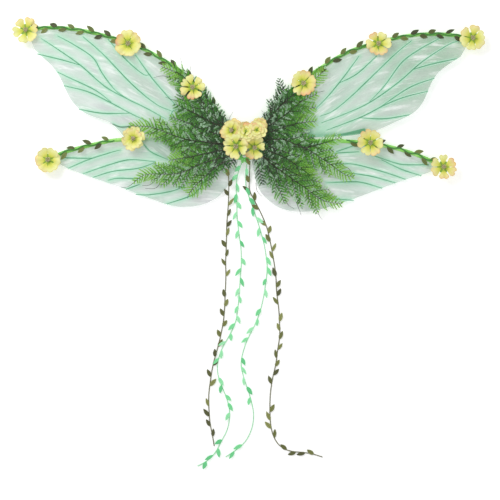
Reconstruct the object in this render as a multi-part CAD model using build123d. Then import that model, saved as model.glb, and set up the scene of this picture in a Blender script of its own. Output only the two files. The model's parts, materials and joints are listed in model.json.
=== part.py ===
from build123d import *
import math
import os

# Fairy wings, decorated side up. Millimetres: +X to the wearer's right as drawn, +Y towards the
# head, +Z away from the back. The origin is the middle of the back pad's face that rests on the back.

# ---- Driving dimensions ----
HINGE_X = 56.0            # where the wires bend, each side of the middle
WIRE_Z = 11.8             # height of the four taped wing wires, and of the bend axes
WIRE_RADIUS = 3.2
GAP = 0.2                 # between pieces that lie on each other
STUB_GAP = 0.4            # between a wire's ball end and the stub in the harness
FILM = 0.6                # thickness of a wing film
LOWER_FILM_Z = WIRE_Z - WIRE_RADIUS - GAP - FILM
UPPER_FILM_Z = WIRE_Z + WIRE_RADIUS + GAP
FILM_EDGE = 0.6           # film edge to the bend axis, on the wing side
UPPER_FILM_EDGE = 3.0

PAD_SIZE = (88.0, 60.0, 3.6)
PLATE_SIZE = (80.0, 50.0, 2.0)
PLATE_Z = 5.2
CLAMP_SIZE = (60.0, 36.0, 1.6)
CLAMP_Y = 4.0
CLAMP_Z = WIRE_Z + WIRE_RADIUS + GAP
RIVET_RADIUS = 1.6
RIVET_HEAD = (3.0, 1.2)   # radius and height
RIVET_PLACES = [(-22, -12), (22, -12), (0, 18)]

STRAP_LOOP = (112.0, 76.0, 30.0)   # length, width and corner radius of a loop, outside
STRAP_WIDTH = 12.0
STRAP_THICKNESS = 1.2
STRAP_Z = PAD_SIZE[2] + GAP
STRAP_CENTRE_X = 80.0
SLIDER_SIZE = (8.0, 17.0, 4.4)
SLIDER_Z = 2.2
SLIDER_WINDOW = (12.6, 1.8)

STEM_RADIUS = 0.9         # leaf stem along a wing wire
STEM_Z = UPPER_FILM_Z + FILM + GAP + STEM_RADIUS
LEAF_LENGTH = 18.0
LEAF_WIDTH = 8.0
LEAF_THICKNESS = 0.8
LEAF_ANGLE = 30.0
LEAF_OFFSET = 2.5         # from the stem's middle to the leaf's foot
LEAF_PITCH = 18.0
GARLAND_LEAF_Z = UPPER_FILM_Z + FILM + 0.3

FLOWER_Z = 19.2           # lowest point of the flowers on the wires
PETAL_THICKNESS = 1.0
DISH_DEPTH = 5.0
CLUSTER_PITCH = 7.0       # height between the layers of the centre cluster

FROND_THICKNESS = 1.0
FROND_LAYERS = [16.1, 17.5, 18.9]

VINE_RADIUS = 1.0
FLOOR_Z = VINE_RADIUS     # a vine's middle where it lies on the ground
VINE_LEAF_PITCH = 19.0
VINE_LEAF_GAP = 0.3
KNOT_SIZE = (8.0, 5.0)
KNOT_PLACE = (-3.0, -31.0, 12.5)

# ---- Outlines, in the XY plane. Each wire starts at its bend and ends at the tip flower. ----
UPPER_LEFT_WIRE = [
    (-56, 57), (-80, 89), (-106, 116), (-132, 139.5), (-162, 159), (-198, 179.5), (-238, 196),
    (-280, 208.5), (-320, 218), (-362, 224), (-402, 224.5), (-436, 219),
]
UPPER_LEFT_TRAIL = [
    (-430, 192), (-413, 174), (-385, 147), (-367, 120), (-356, 95), (-332, 63), (-300, 46),
    (-266, 33), (-240, 6), (-198, -9), (-158, -33), (-110, -36), (-59, -22),
]
UPPER_RIGHT_WIRE = [
    (56, 62), (78, 87), (102, 111), (132, 133.5), (165, 155), (203, 176), (244, 190.5),
    (284, 201), (322, 208.5), (362, 212), (402, 211), (447, 203),
]
UPPER_RIGHT_TRAIL = [
    (440, 178), (420, 162), (388, 140), (368, 113), (356, 84), (338, 59), (300, 38), (262, 21),
    (225, 12), (160, 6), (110, 7), (59, 5),
]
LOWER_LEFT_WIRE = [
    (-56, -5), (-95, -2), (-140, 0.5), (-185, 2), (-225, 2.5), (-262, 0.5), (-300, -7),
    (-335, -15.5), (-366, -25), (-390, -37),
]
LOWER_LEFT_TRAIL = [
    (-368, -50), (-330, -65), (-270, -86), (-215, -106), (-170, -123), (-135, -131.5),
    (-105, -131), (-75, -123), (-56.6, -113),
]
LOWER_RIGHT_WIRE = [
    (56, -5), (100, -2.5), (150, -1), (200, -1.5), (240, -4.5), (280, -11), (320, -21.5),
    (352, -33), (391, -52),
]
LOWER_RIGHT_TRAIL = [
    (372, -62), (330, -74), (270, -95), (220, -114), (170, -131), (130, -140.5), (95, -141),
    (72, -135.5), (56.6, -128),
]
LEFT_ROOT_EDGE = [(-56, -112.6), (-42, -98), (-30, -80), (-22, -60), (-16, -42), (-14, -3)]
RIGHT_ROOT_EDGE = [(56, -127.5), (43, -117), (25, -95), (17, -68), (12, -45), (12, -3)]
UPPER_LEFT_STUB = [(-38, 35), (-10, 8)]
UPPER_RIGHT_STUB = [(40, 38), (10, 8)]
LOWER_LEFT_STUB = [(-12, -5.3)]
LOWER_RIGHT_STUB = [(12, -5.3)]

# ---- Flowers: x, y, radius, petals, turn ----
WING_FLOWERS = {
    "upper_left_tip_flower": (-437, 219, 26, 6, 10),
    "upper_left_mid_flower": (-234, 192, 27, 6, 35),
    "upper_left_inner_flower": (-107, 105, 26, 7, 0),
    "upper_right_tip_flower": (450, 203, 26, 6, 20),
    "upper_right_mid_flower": (263, 192, 25, 6, 5),
    "upper_right_inner_flower": (115, 113, 26, 7, 25),
    "lower_left_tip_flower": (-393, -39, 26, 6, 0),
    "lower_left_mid_flower": (-224, 3, 25, 6, 15),
    "lower_right_tip_flower": (392, -53, 26, 6, 30),
    "lower_right_mid_flower": (247, -5, 27, 6, 0),
}
# The same, and the layer of the cluster.
CENTER_FLOWERS = [
    (-19, -12, 28, 6, 20, 2),
    (16, -14, 25, 6, 0, 1),
    (-27, 19, 25, 6, 12, 1),
    (21, 18, 22, 7, 30, 2),
    (27, 29, 18, 6, 0, 1),
    (0, 12, 24, 6, 0, 0),
]

# ---- Fern fronds: foot, tip, width, layer ----
FRONDS = {
    "fern_left_upper": ((-79, 40), (-150, 122), 30, 1),
    "fern_left_middle": ((-72, 14), (-234, 28), 48, 0),
    "fern_left_side": ((-72, -12), (-166, -26), 34, 1),
    "fern_left_lower": ((-72, -48), (-218, -78), 42, 0),
    "fern_right_upper": ((78, 50), (158, 130), 30, 1),
    "fern_right_middle": ((74, 38), (152, 44), 46, 0),
    "fern_right_side": ((76, -14), (214, -62), 32, 1),
    "fern_right_lower": ((72, -66), (192, -119), 44, 0),
    "fern_right_edge": ((95, 6), (178, 11), 16, 2),
    "fern_right_bright": ((92, -40), (138, -72), 24, 2),
    "fern_root_sprig": ((22, -44), (42, -92), 22, 0),
}

# ---- Routes of the four free vines ----
VINES = {
    "olive_left": [
        (-33, -38, 14.5), (-35, -62, 14.2), (-34, -88, 13.4), (-34.5, -112, 6.5),
        (-36, -136, FLOOR_Z), (-39, -170, FLOOR_Z), (-39, -205, FLOOR_Z), (-41, -240, FLOOR_Z),
        (-40, -275, FLOOR_Z), (-42, -310, FLOOR_Z), (-43, -345, FLOOR_Z), (-48, -378, FLOOR_Z),
        (-56, -412, FLOOR_Z), (-66, -446, FLOOR_Z), (-71, -478, FLOOR_Z), (-75, -508, FLOOR_Z),
        (-74, -540, FLOOR_Z), (-72, -566, FLOOR_Z), (-67, -588, FLOOR_Z), (-63.5, -610, FLOOR_Z),
    ],
    "green_left": [
        (-6, -40.5, 12.5), (-13, -54, 9), (-18, -72, 4), (-20, -92, FLOOR_Z),
        (-18, -118, FLOOR_Z), (-18.5, -145, FLOOR_Z), (-15, -180, FLOOR_Z), (-10, -212, FLOOR_Z),
        (-9, -245, FLOOR_Z), (-12, -280, FLOOR_Z), (-14, -312, FLOOR_Z), (-17, -342, FLOOR_Z),
        (-22, -368, FLOOR_Z), (-36, -394, FLOOR_Z), (-50, -418, FLOOR_Z), (-58, -446, FLOOR_Z),
        (-56, -472, FLOOR_Z), (-44, -500, FLOOR_Z), (-34, -528, FLOOR_Z), (-32, -552, FLOOR_Z),
        (-37, -578, FLOOR_Z), (-50, -602, FLOOR_Z), (-60, -622, FLOOR_Z), (-76, -640, FLOOR_Z),
        (-97, -650, FLOOR_Z),
    ],
    "green_right": [
        (3, -41, 12.5), (0, -56, 9), (-1, -74, 4), (0, -94, FLOOR_Z), (7, -116, FLOOR_Z),
        (17, -142, FLOOR_Z), (26, -170, FLOOR_Z), (35, -200, FLOOR_Z), (40, -228, FLOOR_Z),
        (43, -256, FLOOR_Z), (39, -288, FLOOR_Z), (34, -318, FLOOR_Z), (27, -346, FLOOR_Z),
        (15, -374, FLOOR_Z), (2, -398, FLOOR_Z), (-7, -424, FLOOR_Z), (-11, -448, FLOOR_Z),
        (-5, -472, FLOOR_Z), (4, -498, FLOOR_Z), (12, -524, FLOOR_Z), (16, -548, FLOOR_Z),
        (13, -572, FLOOR_Z), (4, -594, FLOOR_Z), (-10, -611, FLOOR_Z), (-26, -622, FLOOR_Z),
        (-41, -632, FLOOR_Z),
    ],
    "olive_right": [
        (8, -40, 13), (7.5, -56, 9.5), (7, -76, 4), (5.5, -98, FLOOR_Z), (17, -119, FLOOR_Z),
        (30, -144, FLOOR_Z), (42, -172, FLOOR_Z), (49, -204, FLOOR_Z), (55, -236, FLOOR_Z),
        (60, -268, FLOOR_Z), (60.5, -300, FLOOR_Z), (65.5, -332, FLOOR_Z), (67, -362, FLOOR_Z),
        (68, -390, FLOOR_Z), (63, -418, FLOOR_Z), (60, -446, FLOOR_Z), (53, -474, FLOOR_Z),
        (48.5, -504, FLOOR_Z), (47.5, -534, FLOOR_Z), (48.5, -562, FLOOR_Z), (53, -588, FLOOR_Z),
        (66, -610, FLOOR_Z), (88, -621, FLOOR_Z), (114, -622.5, FLOOR_Z), (136, -626, FLOOR_Z),
        (153, -632, FLOOR_Z),
    ],
}


def save(name, shape):
    export_step(shape, f"parts/{name}.step")


def at_height(points, z):
    return [Vector(x, y, z) for x, y in points]


# ---- Tubes along routes ----
def corner_radii(points):
    """The largest arc that each corner's two runs allow."""
    radii = []
    for before, corner, after in zip(points, points[1:], points[2:]):
        run_in = corner - before
        run_out = after - corner
        turn = math.radians(run_in.get_angle(run_out))
        radii.append(0.45 * min(run_in.length, run_out.length) / math.tan(turn / 2))
    return radii


def route_line(points):
    if len(points) == 2:
        return Line(*points)
    return FilletPolyline(*points, radius=corner_radii(points))


def tube(line, radius):
    return sweep(Plane(origin=line @ 0, z_dir=line % 0) * Circle(radius), path=line)


# ---- Leaves ----
def leaf_solid():
    """A pointed leaf with its foot at the origin, along +X."""
    middle = LEAF_LENGTH / 2
    one_side = ThreePointArc((0, 0), (middle, LEAF_WIDTH / 2), (LEAF_LENGTH, 0))
    other_side = ThreePointArc((LEAF_LENGTH, 0), (middle, -LEAF_WIDTH / 2), (0, 0))
    return extrude(make_face(one_side + other_side), amount=LEAF_THICKNESS)


def leaves_along(line, pitch, height, backwards=False):
    """Leaves on alternate sides of a line; height is a leaf's base above the line's own Z."""
    leaves = []
    count = int((line.length - LEAF_LENGTH) / pitch)
    for number in range(count + 1):
        along = (number + 0.5) * pitch / line.length
        foot = line @ along
        way = line % along
        heading = math.degrees(math.atan2(way.Y, way.X))
        side = 1 if number % 2 == 0 else -1
        lean = 180 - LEAF_ANGLE if backwards else LEAF_ANGLE
        normal = Vector(-math.sin(math.radians(heading)), math.cos(math.radians(heading)))
        base = foot + normal * (side * LEAF_OFFSET) + Vector(0, 0, height)
        leaves.append(Pos(base) * Rot(0, 0, heading + side * lean) * leaf_solid())
    return leaves


# ---- Harness ----
def build_harness():
    pad = Pos(0, 0, PAD_SIZE[2] / 2) * Box(*PAD_SIZE)
    save("back_pad", fillet(pad.edges().filter_by(Axis.Z), 8))
    holes = [Pos(x, y) * Cylinder(RIVET_RADIUS + GAP, 100) for x, y in RIVET_PLACES]
    plate = Pos(0, 0, PLATE_Z + PLATE_SIZE[2] / 2) * Box(*PLATE_SIZE)
    save("back_plate", fillet(plate.edges().filter_by(Axis.Z), 6) - holes)
    clamp = Pos(0, CLAMP_Y, CLAMP_Z + CLAMP_SIZE[2] / 2) * Box(*CLAMP_SIZE)
    save("wire_clamp_plate", fillet(clamp.edges().filter_by(Axis.Z), 5) - holes)
    save("clamp_rivets", Compound(children=[rivet(x, y) for x, y in RIVET_PLACES]))
    save("wire_stubs", Compound(children=wire_stubs()))
    left_film = film_root(LOWER_LEFT_WIRE, LEFT_ROOT_EDGE) - holes
    right_film = film_root(LOWER_RIGHT_WIRE, RIGHT_ROOT_EDGE) - holes
    save("lower_left_film_root", left_film)
    save("lower_right_film_root", right_film)
    return [left_film, right_film]


def rivet(x, y):
    head_z = CLAMP_Z + CLAMP_SIZE[2] + GAP
    length = head_z - PLATE_Z
    shank = Pos(x, y, PLATE_Z + length / 2) * Cylinder(RIVET_RADIUS, length)
    head = Pos(x, y, head_z + RIVET_HEAD[1] / 2) * Cylinder(*RIVET_HEAD)
    return shank + fillet(head.edges().group_by(Axis.Z)[-1], 0.8)


def wire_stubs():
    """The inner ends of the four wires, each cut just short of its wing wire's ball end."""
    stubs = []
    for wire, inner in (
        (UPPER_LEFT_WIRE, UPPER_LEFT_STUB),
        (UPPER_RIGHT_WIRE, UPPER_RIGHT_STUB),
        (LOWER_LEFT_WIRE, LOWER_LEFT_STUB),
        (LOWER_RIGHT_WIRE, LOWER_RIGHT_STUB),
    ):
        ball, *rest = at_height([wire[0], *inner], WIRE_Z)
        start = ball + (rest[0] - ball).normalized() * (WIRE_RADIUS + STUB_GAP)
        stubs.append(tube(route_line([start, *rest]), WIRE_RADIUS))
    return stubs


def film_root(wire, edge):
    """The stretch of a lower film between the bend axis and the middle."""
    start = (math.copysign(HINGE_X, wire[0][0]), wire[0][1])
    curve = Spline(*edge[:-1])
    sides = Polyline(edge[-2], edge[-1], start, edge[0])
    return Pos(0, 0, LOWER_FILM_Z) * extrude(make_face(curve + sides), amount=FILM)


def build_straps():
    length, width, corner = STRAP_LOOP
    for side, sign in (("left", -1), ("right", 1)):
        outer = RectangleRounded(length, width, corner)
        inner = RectangleRounded(
            length - 2 * STRAP_WIDTH, width - 2 * STRAP_WIDTH, corner - STRAP_WIDTH
        )
        place = Pos(sign * STRAP_CENTRE_X, 0, STRAP_Z)
        save(f"{side}_shoulder_strap", place * extrude(outer - inner, amount=STRAP_THICKNESS))
        run_y = (width - STRAP_WIDTH) / 2
        middle_z = STRAP_Z + STRAP_THICKNESS / 2
        body = Pos(0, 0, SLIDER_Z + SLIDER_SIZE[2] / 2) * Box(*SLIDER_SIZE)
        body = fillet(body.edges().filter_by(Axis.Z), 1.5)
        window = Pos(0, 0, middle_z) * Box(2 * SLIDER_SIZE[0], *SLIDER_WINDOW)
        save(f"{side}_strap_slider", Pos(sign * STRAP_CENTRE_X, run_y) * (body - window))


# ---- Wings ----
def wing_film(wire, trail, z, edge):
    """A film between its wire and its free edge, cut straight beside the bend axis."""
    first = (math.copysign(HINGE_X + edge, wire[0][0]), trail[-1][1])
    top = (first[0], wire[0][1] + edge)
    lead = Spline(top, *wire[1:])
    free = Spline(*trail[:-1], first)
    tip = Line(wire[-1], trail[0])
    root = Line(first, top)
    return Pos(0, 0, z) * extrude(make_face(lead + tip + free + root), amount=FILM)


def build_wing(name, wire, trail, film_z, film_edge, leaf_from):
    line = route_line(at_height(wire, WIRE_Z))
    ball = Pos(line @ 0) * Sphere(WIRE_RADIUS)
    save(f"{name}_frame_wire", ball + tube(line, WIRE_RADIUS))
    save(f"{name}_film", wing_film(wire, trail, film_z, film_edge))
    stem_points = [point for point in wire if abs(point[0]) > leaf_from]
    stem_line = route_line(at_height(stem_points, STEM_Z))
    leaves = leaves_along(stem_line, LEAF_PITCH, GARLAND_LEAF_Z - STEM_Z)
    save(f"{name}_leaf_garland", Compound(children=[tube(stem_line, STEM_RADIUS), *leaves]))


# ---- Flowers and ferns ----
def flower(x, y, radius, petals, turn, z):
    """A dished ring of round petals, and the stamen button in its middle."""
    lobes = PolarLocations(0.62 * radius, petals) * Ellipse(0.38 * radius, 0.33 * radius)
    outline = Circle(0.45 * radius) + lobes
    dish = (radius**2 + DISH_DEPTH**2) / (2 * DISH_DEPTH)
    shell = Pos(0, 0, dish) * (Sphere(dish) - Sphere(dish - PETAL_THICKNESS))
    petal_ring = shell & extrude(outline, amount=DISH_DEPTH + PETAL_THICKNESS)
    button = Cylinder(0.17 * radius, 3)
    button = fillet(button.edges().group_by(Axis.Z)[-1], 1.2)
    button = Pos(0, 0, PETAL_THICKNESS + 1.5 * GAP + 1.5) * button
    place = Pos(x, y, z) * Rot(0, 0, turn)
    return Compound(children=[place * petal_ring, place * button])


def build_flowers():
    for name, sizes in WING_FLOWERS.items():
        save(name, flower(*sizes, z=FLOWER_Z))
    for number, (*sizes, layer) in enumerate(CENTER_FLOWERS, 1):
        save(f"center_flower_{number}", flower(*sizes, z=FLOWER_Z + layer * CLUSTER_PITCH))


def build_fronds():
    for name, (foot, tip, width, layer) in FRONDS.items():
        foot = Vector(*foot)
        way = Vector(*tip) - foot
        length = way.length
        half = width / 2
        blunt = Spline((0, 0), (0.25 * length, half), (0.6 * length, 0.85 * half), (length, 0))
        other = Spline((length, 0), (0.6 * length, -0.85 * half), (0.25 * length, -half), (0, 0))
        plate = extrude(make_face(blunt + other), amount=FROND_THICKNESS)
        heading = math.degrees(math.atan2(way.Y, way.X))
        save(name, Pos(foot.X, foot.Y, FROND_LAYERS[layer]) * Rot(0, 0, heading) * plate)


# ---- Free vines ----
def build_vines(films):
    radius, height = KNOT_SIZE
    knot = Cylinder(radius, height)
    save("vine_knot", Pos(*KNOT_PLACE) * fillet(knot.edges().filter_by(GeomType.CIRCLE), 1.5))
    lines = {}
    for name, route in VINES.items():
        points = [Vector(*point) for point in route]
        lines[name] = route_line(points)
        stem = tube(lines[name], VINE_RADIUS)
        share = stem.volume / (math.pi * VINE_RADIUS**2 * lines[name].length)
        radii = [round(radius) for radius in corner_radii(points)]
        print(f"{name}: {lines[name].length:.0f} long, volume share {share:.3f}, radii {radii}")
        save(f"vine_{name}", stem)
    for name, line in lines.items():
        olive = name.startswith("olive")
        height = -LEAF_THICKNESS / 2 if olive else LEAF_THICKNESS
        leaves = leaves_along(line, VINE_LEAF_PITCH, height, backwards=olive)
        other_lines = [line for other, line in lines.items() if other != name]
        clear = [leaf for leaf in leaves if stays_clear(leaf, other_lines, films)]
        save(f"vine_leaves_{name}", Compound(children=clear))


def stays_clear(leaf, other_lines, films):
    """A leaf that would lie through a neighbouring vine or film is left off."""
    off_vines = all(leaf.distance_to(line) > VINE_RADIUS + VINE_LEAF_GAP for line in other_lines)
    return off_vines and all(leaf.distance_to(film) > VINE_LEAF_GAP for film in films)


os.makedirs("parts", exist_ok=True)
root_films = build_harness()
build_straps()
build_wing(
    "upper_left", UPPER_LEFT_WIRE, UPPER_LEFT_TRAIL, UPPER_FILM_Z, UPPER_FILM_EDGE, leaf_from=60
)
build_wing(
    "upper_right", UPPER_RIGHT_WIRE, UPPER_RIGHT_TRAIL, UPPER_FILM_Z, UPPER_FILM_EDGE, leaf_from=60
)
build_wing("lower_left", LOWER_LEFT_WIRE, LOWER_LEFT_TRAIL, LOWER_FILM_Z, FILM_EDGE, leaf_from=240)
build_wing("lower_right", LOWER_RIGHT_WIRE, LOWER_RIGHT_TRAIL, LOWER_FILM_Z, FILM_EDGE, leaf_from=180)
build_flowers()
build_fronds()
build_vines(root_films)
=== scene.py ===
import json
import math
import random

import bpy
import numpy as np
from mathutils import Euler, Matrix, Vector


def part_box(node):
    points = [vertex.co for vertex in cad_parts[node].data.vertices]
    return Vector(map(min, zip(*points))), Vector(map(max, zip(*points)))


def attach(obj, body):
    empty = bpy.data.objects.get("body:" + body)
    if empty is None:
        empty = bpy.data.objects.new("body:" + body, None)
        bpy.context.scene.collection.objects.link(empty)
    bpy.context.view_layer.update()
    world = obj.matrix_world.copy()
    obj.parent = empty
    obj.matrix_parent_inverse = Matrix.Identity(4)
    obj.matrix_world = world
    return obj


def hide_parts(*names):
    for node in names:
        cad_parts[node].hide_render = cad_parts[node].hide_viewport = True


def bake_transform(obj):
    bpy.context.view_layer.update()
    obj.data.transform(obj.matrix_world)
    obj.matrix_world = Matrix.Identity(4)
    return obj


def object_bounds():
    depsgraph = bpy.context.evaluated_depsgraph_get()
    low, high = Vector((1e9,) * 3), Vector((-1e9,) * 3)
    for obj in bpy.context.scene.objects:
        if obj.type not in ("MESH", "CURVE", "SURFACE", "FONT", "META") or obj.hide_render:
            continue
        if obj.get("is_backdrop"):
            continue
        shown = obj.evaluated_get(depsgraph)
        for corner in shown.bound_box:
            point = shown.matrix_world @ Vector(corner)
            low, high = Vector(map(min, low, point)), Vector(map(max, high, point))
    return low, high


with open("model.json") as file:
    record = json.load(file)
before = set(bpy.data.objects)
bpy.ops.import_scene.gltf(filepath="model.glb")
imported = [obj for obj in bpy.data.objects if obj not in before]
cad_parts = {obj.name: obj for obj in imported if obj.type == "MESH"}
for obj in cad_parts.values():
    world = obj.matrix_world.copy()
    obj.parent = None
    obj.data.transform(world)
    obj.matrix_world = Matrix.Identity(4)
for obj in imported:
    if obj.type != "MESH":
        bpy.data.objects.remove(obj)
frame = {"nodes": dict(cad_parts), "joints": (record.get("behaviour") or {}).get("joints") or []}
cad_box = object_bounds()
MM = 0.001

# ---- Sizes, in metres unless a comment says otherwise ----
CAMERA_HEIGHT = 3.0
SENSOR_MM = 36.0
VIEW_WIDTH = 1.0
VIEW_CENTRE = (0.008, -0.218)
# Each lamp's place, size and power in watts.
LAMPS = {"key": ((-1.2, 1.2, 1.8), 1.2, 28), "fill": ((1.4, -0.8, 1.6), 1.6, 8)}
WORLD_LIGHT = 0.6
STUDIO_REACH = 6.0
STUDIO_DROP = 0.6 * MM

TAPED_RADIUS = 3.9 * MM      # of a wire with its crepe tape and the film folded round it
TAPE_PITCH = 5.5 * MM
TWINE_RADIUS = 1.4 * MM
TWINE_PITCH = 36 * MM
LEAF_LENGTH = 19 * MM
LEAF_WIDTH = 8.5 * MM
LEAF_CURL = 0.18             # at most, as a share of the length
SHEET_THICKNESS = 0.25 * MM  # of leaves and other thin pieces

FILM_GRID = (150, 44)        # faces along and across a wing film
FILM_RIPPLE = 0.9 * MM
FILM_LIP = 14 * MM           # how far from its wire a film comes down or up to it
VEIN_WIDTH = 2.4 * MM
GLOW_WIDTH = 7.0 * MM
HALO_WIDTH = 6.5 * MM

SIDES = {"left": -1, "right": 1}
WINGS = ["upper_left", "upper_right", "lower_left", "lower_right"]
HINGE_X = abs(frame["joints"][0]["pos_m"][0])
WIRE_Z = frame["joints"][0]["pos_m"][2]
WIRE_BEND = 4 * MM           # each side of the hinge
FILM_BEND = 3 * MM
TIP_REACH = 45 * MM          # how far round its tip flower a film's edge turns back


def side_of(wing):
    """-1 for a wing on the left, 1 for one on the right."""
    return SIDES[wing.split("_")[1]]


def hand_over(piece, slot, *replaced, body=None):
    """Hides the CAD parts that a piece stands in for, and rides the piece on a body if one is given."""
    if replaced:
        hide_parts(*replaced)
    if body:
        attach(piece, body)


def bend_over(piece, wing, first, last):
    """Bakes a piece's place into its mesh; it does not bend it with the wing, and the two distances from
    the middle are not used.
    """
    sign = side_of(wing)
    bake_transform(piece)


# ---- Materials ----
class Net:
    """One material: a Principled shader, and short ways to add and join nodes."""

    def __init__(self, name, **settings):
        self.material = bpy.data.materials.new(name)
        self.material.use_nodes = True
        self.tree = self.material.node_tree
        self.tree.nodes.clear()
        self.shader = self.add("ShaderNodeBsdfPrincipled")
        output = self.add("ShaderNodeOutputMaterial")
        self.tree.links.new(self.shader.outputs["BSDF"], output.inputs["Surface"])
        for key, value in settings.items():
            self.shader.inputs[key.replace("_", " ")].default_value = value

    def add(self, kind, **settings):
        node = self.tree.nodes.new(kind)
        for key, value in settings.items():
            setattr(node, key, value)
        return node

    def feed(self, node, inputs):
        for key, value in inputs.items():
            if isinstance(value, bpy.types.NodeSocket):
                self.tree.links.new(value, node.inputs[key])
            else:
                node.inputs[key].default_value = value
        return node

    def place(self):
        return self.add("ShaderNodeTexCoord").outputs["Object"]

    def stretched(self, scale):
        mapping = self.add("ShaderNodeMapping")
        return self.feed(mapping, {"Vector": self.place(), "Scale": scale}).outputs["Vector"]

    def noise(self, scale, detail=3.0, rough=0.5, stretch=(1, 1, 1), vector=None):
        place = vector or self.stretched(stretch)
        return self.feed(self.add("ShaderNodeTexNoise"), {
            "Vector": place, "Scale": scale, "Detail": detail, "Roughness": rough}).outputs["Fac"]

    def wing_place(self, length, width):
        """Coordinates that follow a wing: one unit is length along it and width across it."""
        node = self.add("ShaderNodeCombineXYZ")
        return self.feed(node, {
            "X": self.math("DIVIDE", self.attribute("run"), length),
            "Y": self.math("DIVIDE", self.attribute("across"), width),
        }).outputs["Vector"]

    def attribute(self, name):
        return self.add("ShaderNodeAttribute", attribute_name=name).outputs["Fac"]

    def math(self, operation, a, b=0.0, c=0.0, clamp=False):
        node = self.add("ShaderNodeMath", operation=operation, use_clamp=clamp)
        return self.feed(node, {0: a, 1: b, 2: c}).outputs["Value"]

    def ramp(self, value, *stops):
        node = self.add("ShaderNodeValToRGB")
        elements = node.color_ramp.elements
        while len(elements) < len(stops):
            elements.new(0.5)
        for element, (position, colour) in zip(elements, stops):
            element.position = position
            element.color = (*rgb(*colour), 1)
        return self.feed(node, {"Fac": value}).outputs["Color"]

    def mix(self, share, a, b, blend="MIX"):
        node = self.add("ShaderNodeMix", data_type="RGBA", blend_type=blend)
        for socket, value in zip((node.inputs[0], node.inputs[6], node.inputs[7]), (share, a, b)):
            if isinstance(value, bpy.types.NodeSocket):
                self.tree.links.new(value, socket)
            else:
                socket.default_value = value
        return node.outputs[2]

    def colour(self, socket):
        self.tree.links.new(socket, self.shader.inputs["Base Color"])

    def rough(self, socket):
        self.tree.links.new(socket, self.shader.inputs["Roughness"])

    def bump(self, height, strength, distance):
        node = self.add("ShaderNodeBump")
        self.feed(node, {"Height": height, "Strength": strength, "Distance": distance})
        self.tree.links.new(node.outputs["Normal"], self.shader.inputs["Normal"])


def rgb(red, green, blue):
    """A colour seen as 0 to 255, as the linear numbers that a shader takes."""
    return tuple((c / 255 / 12.92) if c < 10 else ((c / 255 + 0.055) / 1.055) ** 2.4
                 for c in (red, green, blue))


def flat(*colour):
    return (*rgb(*colour), 1)


def grained(name, scale, detail, *stops, bump=0.0, rough=0.5, **settings):
    """A material with one grain, which both colours it and gives it relief."""
    net = Net(name, **settings)
    grain = net.noise(scale, detail=detail, rough=rough)
    net.colour(net.ramp(grain, *stops))
    if bump:
        net.bump(grain, bump, 0.0003)
    return net.material


def film_material():
    """Pearly film: "run" and "across" are metres along and across the wing; "halo" is 1 at a vein,
    "deep" is 1 where the film is coloured darkest and greenest and "teal" where it is dyed teal."""
    net = Net("wing_film", Roughness=0.25, Alpha=0.66, Coat_Weight=0.3, Coat_Roughness=0.15)
    broad = net.noise(1, detail=2.5, rough=0.5, vector=net.wing_place(0.15, 0.045))
    pearl = net.ramp(broad, (0.30, (178, 192, 180)), (0.45, (186, 206, 194)),
                     (0.56, (220, 228, 224)), (0.68, (196, 194, 200)))
    halo = net.math("MULTIPLY", net.attribute("halo"), 0.85)
    pearl = net.mix(halo, pearl, flat(162, 228, 190))
    # Painted highlight: narrow white streaks of glare along the wing, mixed into the film's colour.
    glare = net.noise(1, detail=3, rough=0.6, vector=net.wing_place(0.075, 0.014))
    painted_glare = net.ramp(glare, (0.54, (0, 0, 0)), (0.70, (255, 255, 255)))
    fine = net.noise(1, detail=4, rough=0.65, vector=net.wing_place(0.03, 0.006))
    streaked = net.mix(net.math("MULTIPLY", fine, 0.30), pearl, flat(150, 188, 166))
    streaked = net.mix(net.math("MULTIPLY", net.attribute("deep"), 0.55), streaked, flat(90, 152, 98))
    with_painted_glare = net.mix(net.math("MULTIPLY", painted_glare, 0.75), streaked, flat(252, 255, 253))
    net.colour(net.mix(net.math("MULTIPLY", net.attribute("teal"), 0.85), with_painted_glare, flat(34, 166, 112)))
    net.rough(net.math("MULTIPLY_ADD", fine, 0.3, 0.12))
    net.bump(fine, 0.35, 0.0015)
    return net.material


def vein_material():
    net = Net("vein_flock", Roughness=0.7, Alpha=0.92, Sheen_Weight=0.15)
    grain = net.noise(900, detail=2)
    tone = net.noise(30, detail=3)
    net.colour(net.mix(net.math("MULTIPLY", grain, 0.25), net.ramp(
        tone, (0.3, (70, 148, 104)), (0.7, (104, 178, 138))), flat(140, 204, 170)))
    net.bump(grain, 0.5, 0.0004)
    return net.material


def tape_material():
    net = Net("floral_tape", Roughness=0.55, Sheen_Weight=0.35, Sheen_Roughness=0.4)
    crepe = net.noise(520, detail=4, rough=0.7, stretch=(1, 1, 2.5))
    patch = net.noise(45, detail=3)
    bright = net.ramp(patch, (0.32, (118, 198, 72)), (0.5, (148, 226, 98)), (0.68, (184, 246, 140)))
    net.colour(net.mix(net.math("MULTIPLY", crepe, 0.25), bright, flat(60, 150, 60)))
    net.rough(net.math("MULTIPLY_ADD", crepe, 0.4, 0.35))
    net.bump(crepe, 0.6, 0.0005)
    return net.material


def leaf_material(name, dark, middle, pale):
    """Pressed ribbon leaf: "across" runs 0 at the midrib to 1 at the edge, "tint" is per leaf."""
    net = Net(name, Roughness=0.6, Sheen_Weight=0.25, Sheen_Roughness=0.5)
    weave = net.noise(700, detail=3, rough=0.6)
    tint = net.attribute("tint")
    tone = net.ramp(tint, (0.1, dark), (0.5, middle), (0.9, pale))
    rib = net.math("LESS_THAN", net.attribute("across"), 0.13)
    ribbed = net.mix(net.math("MULTIPLY", rib, 0.55), tone, flat(*dark))
    net.colour(net.mix(net.math("MULTIPLY", weave, 0.3), ribbed, flat(*pale)))
    net.rough(net.math("MULTIPLY_ADD", weave, 0.3, 0.4))
    net.bump(weave, 0.5, 0.0004)
    return net.material


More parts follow.
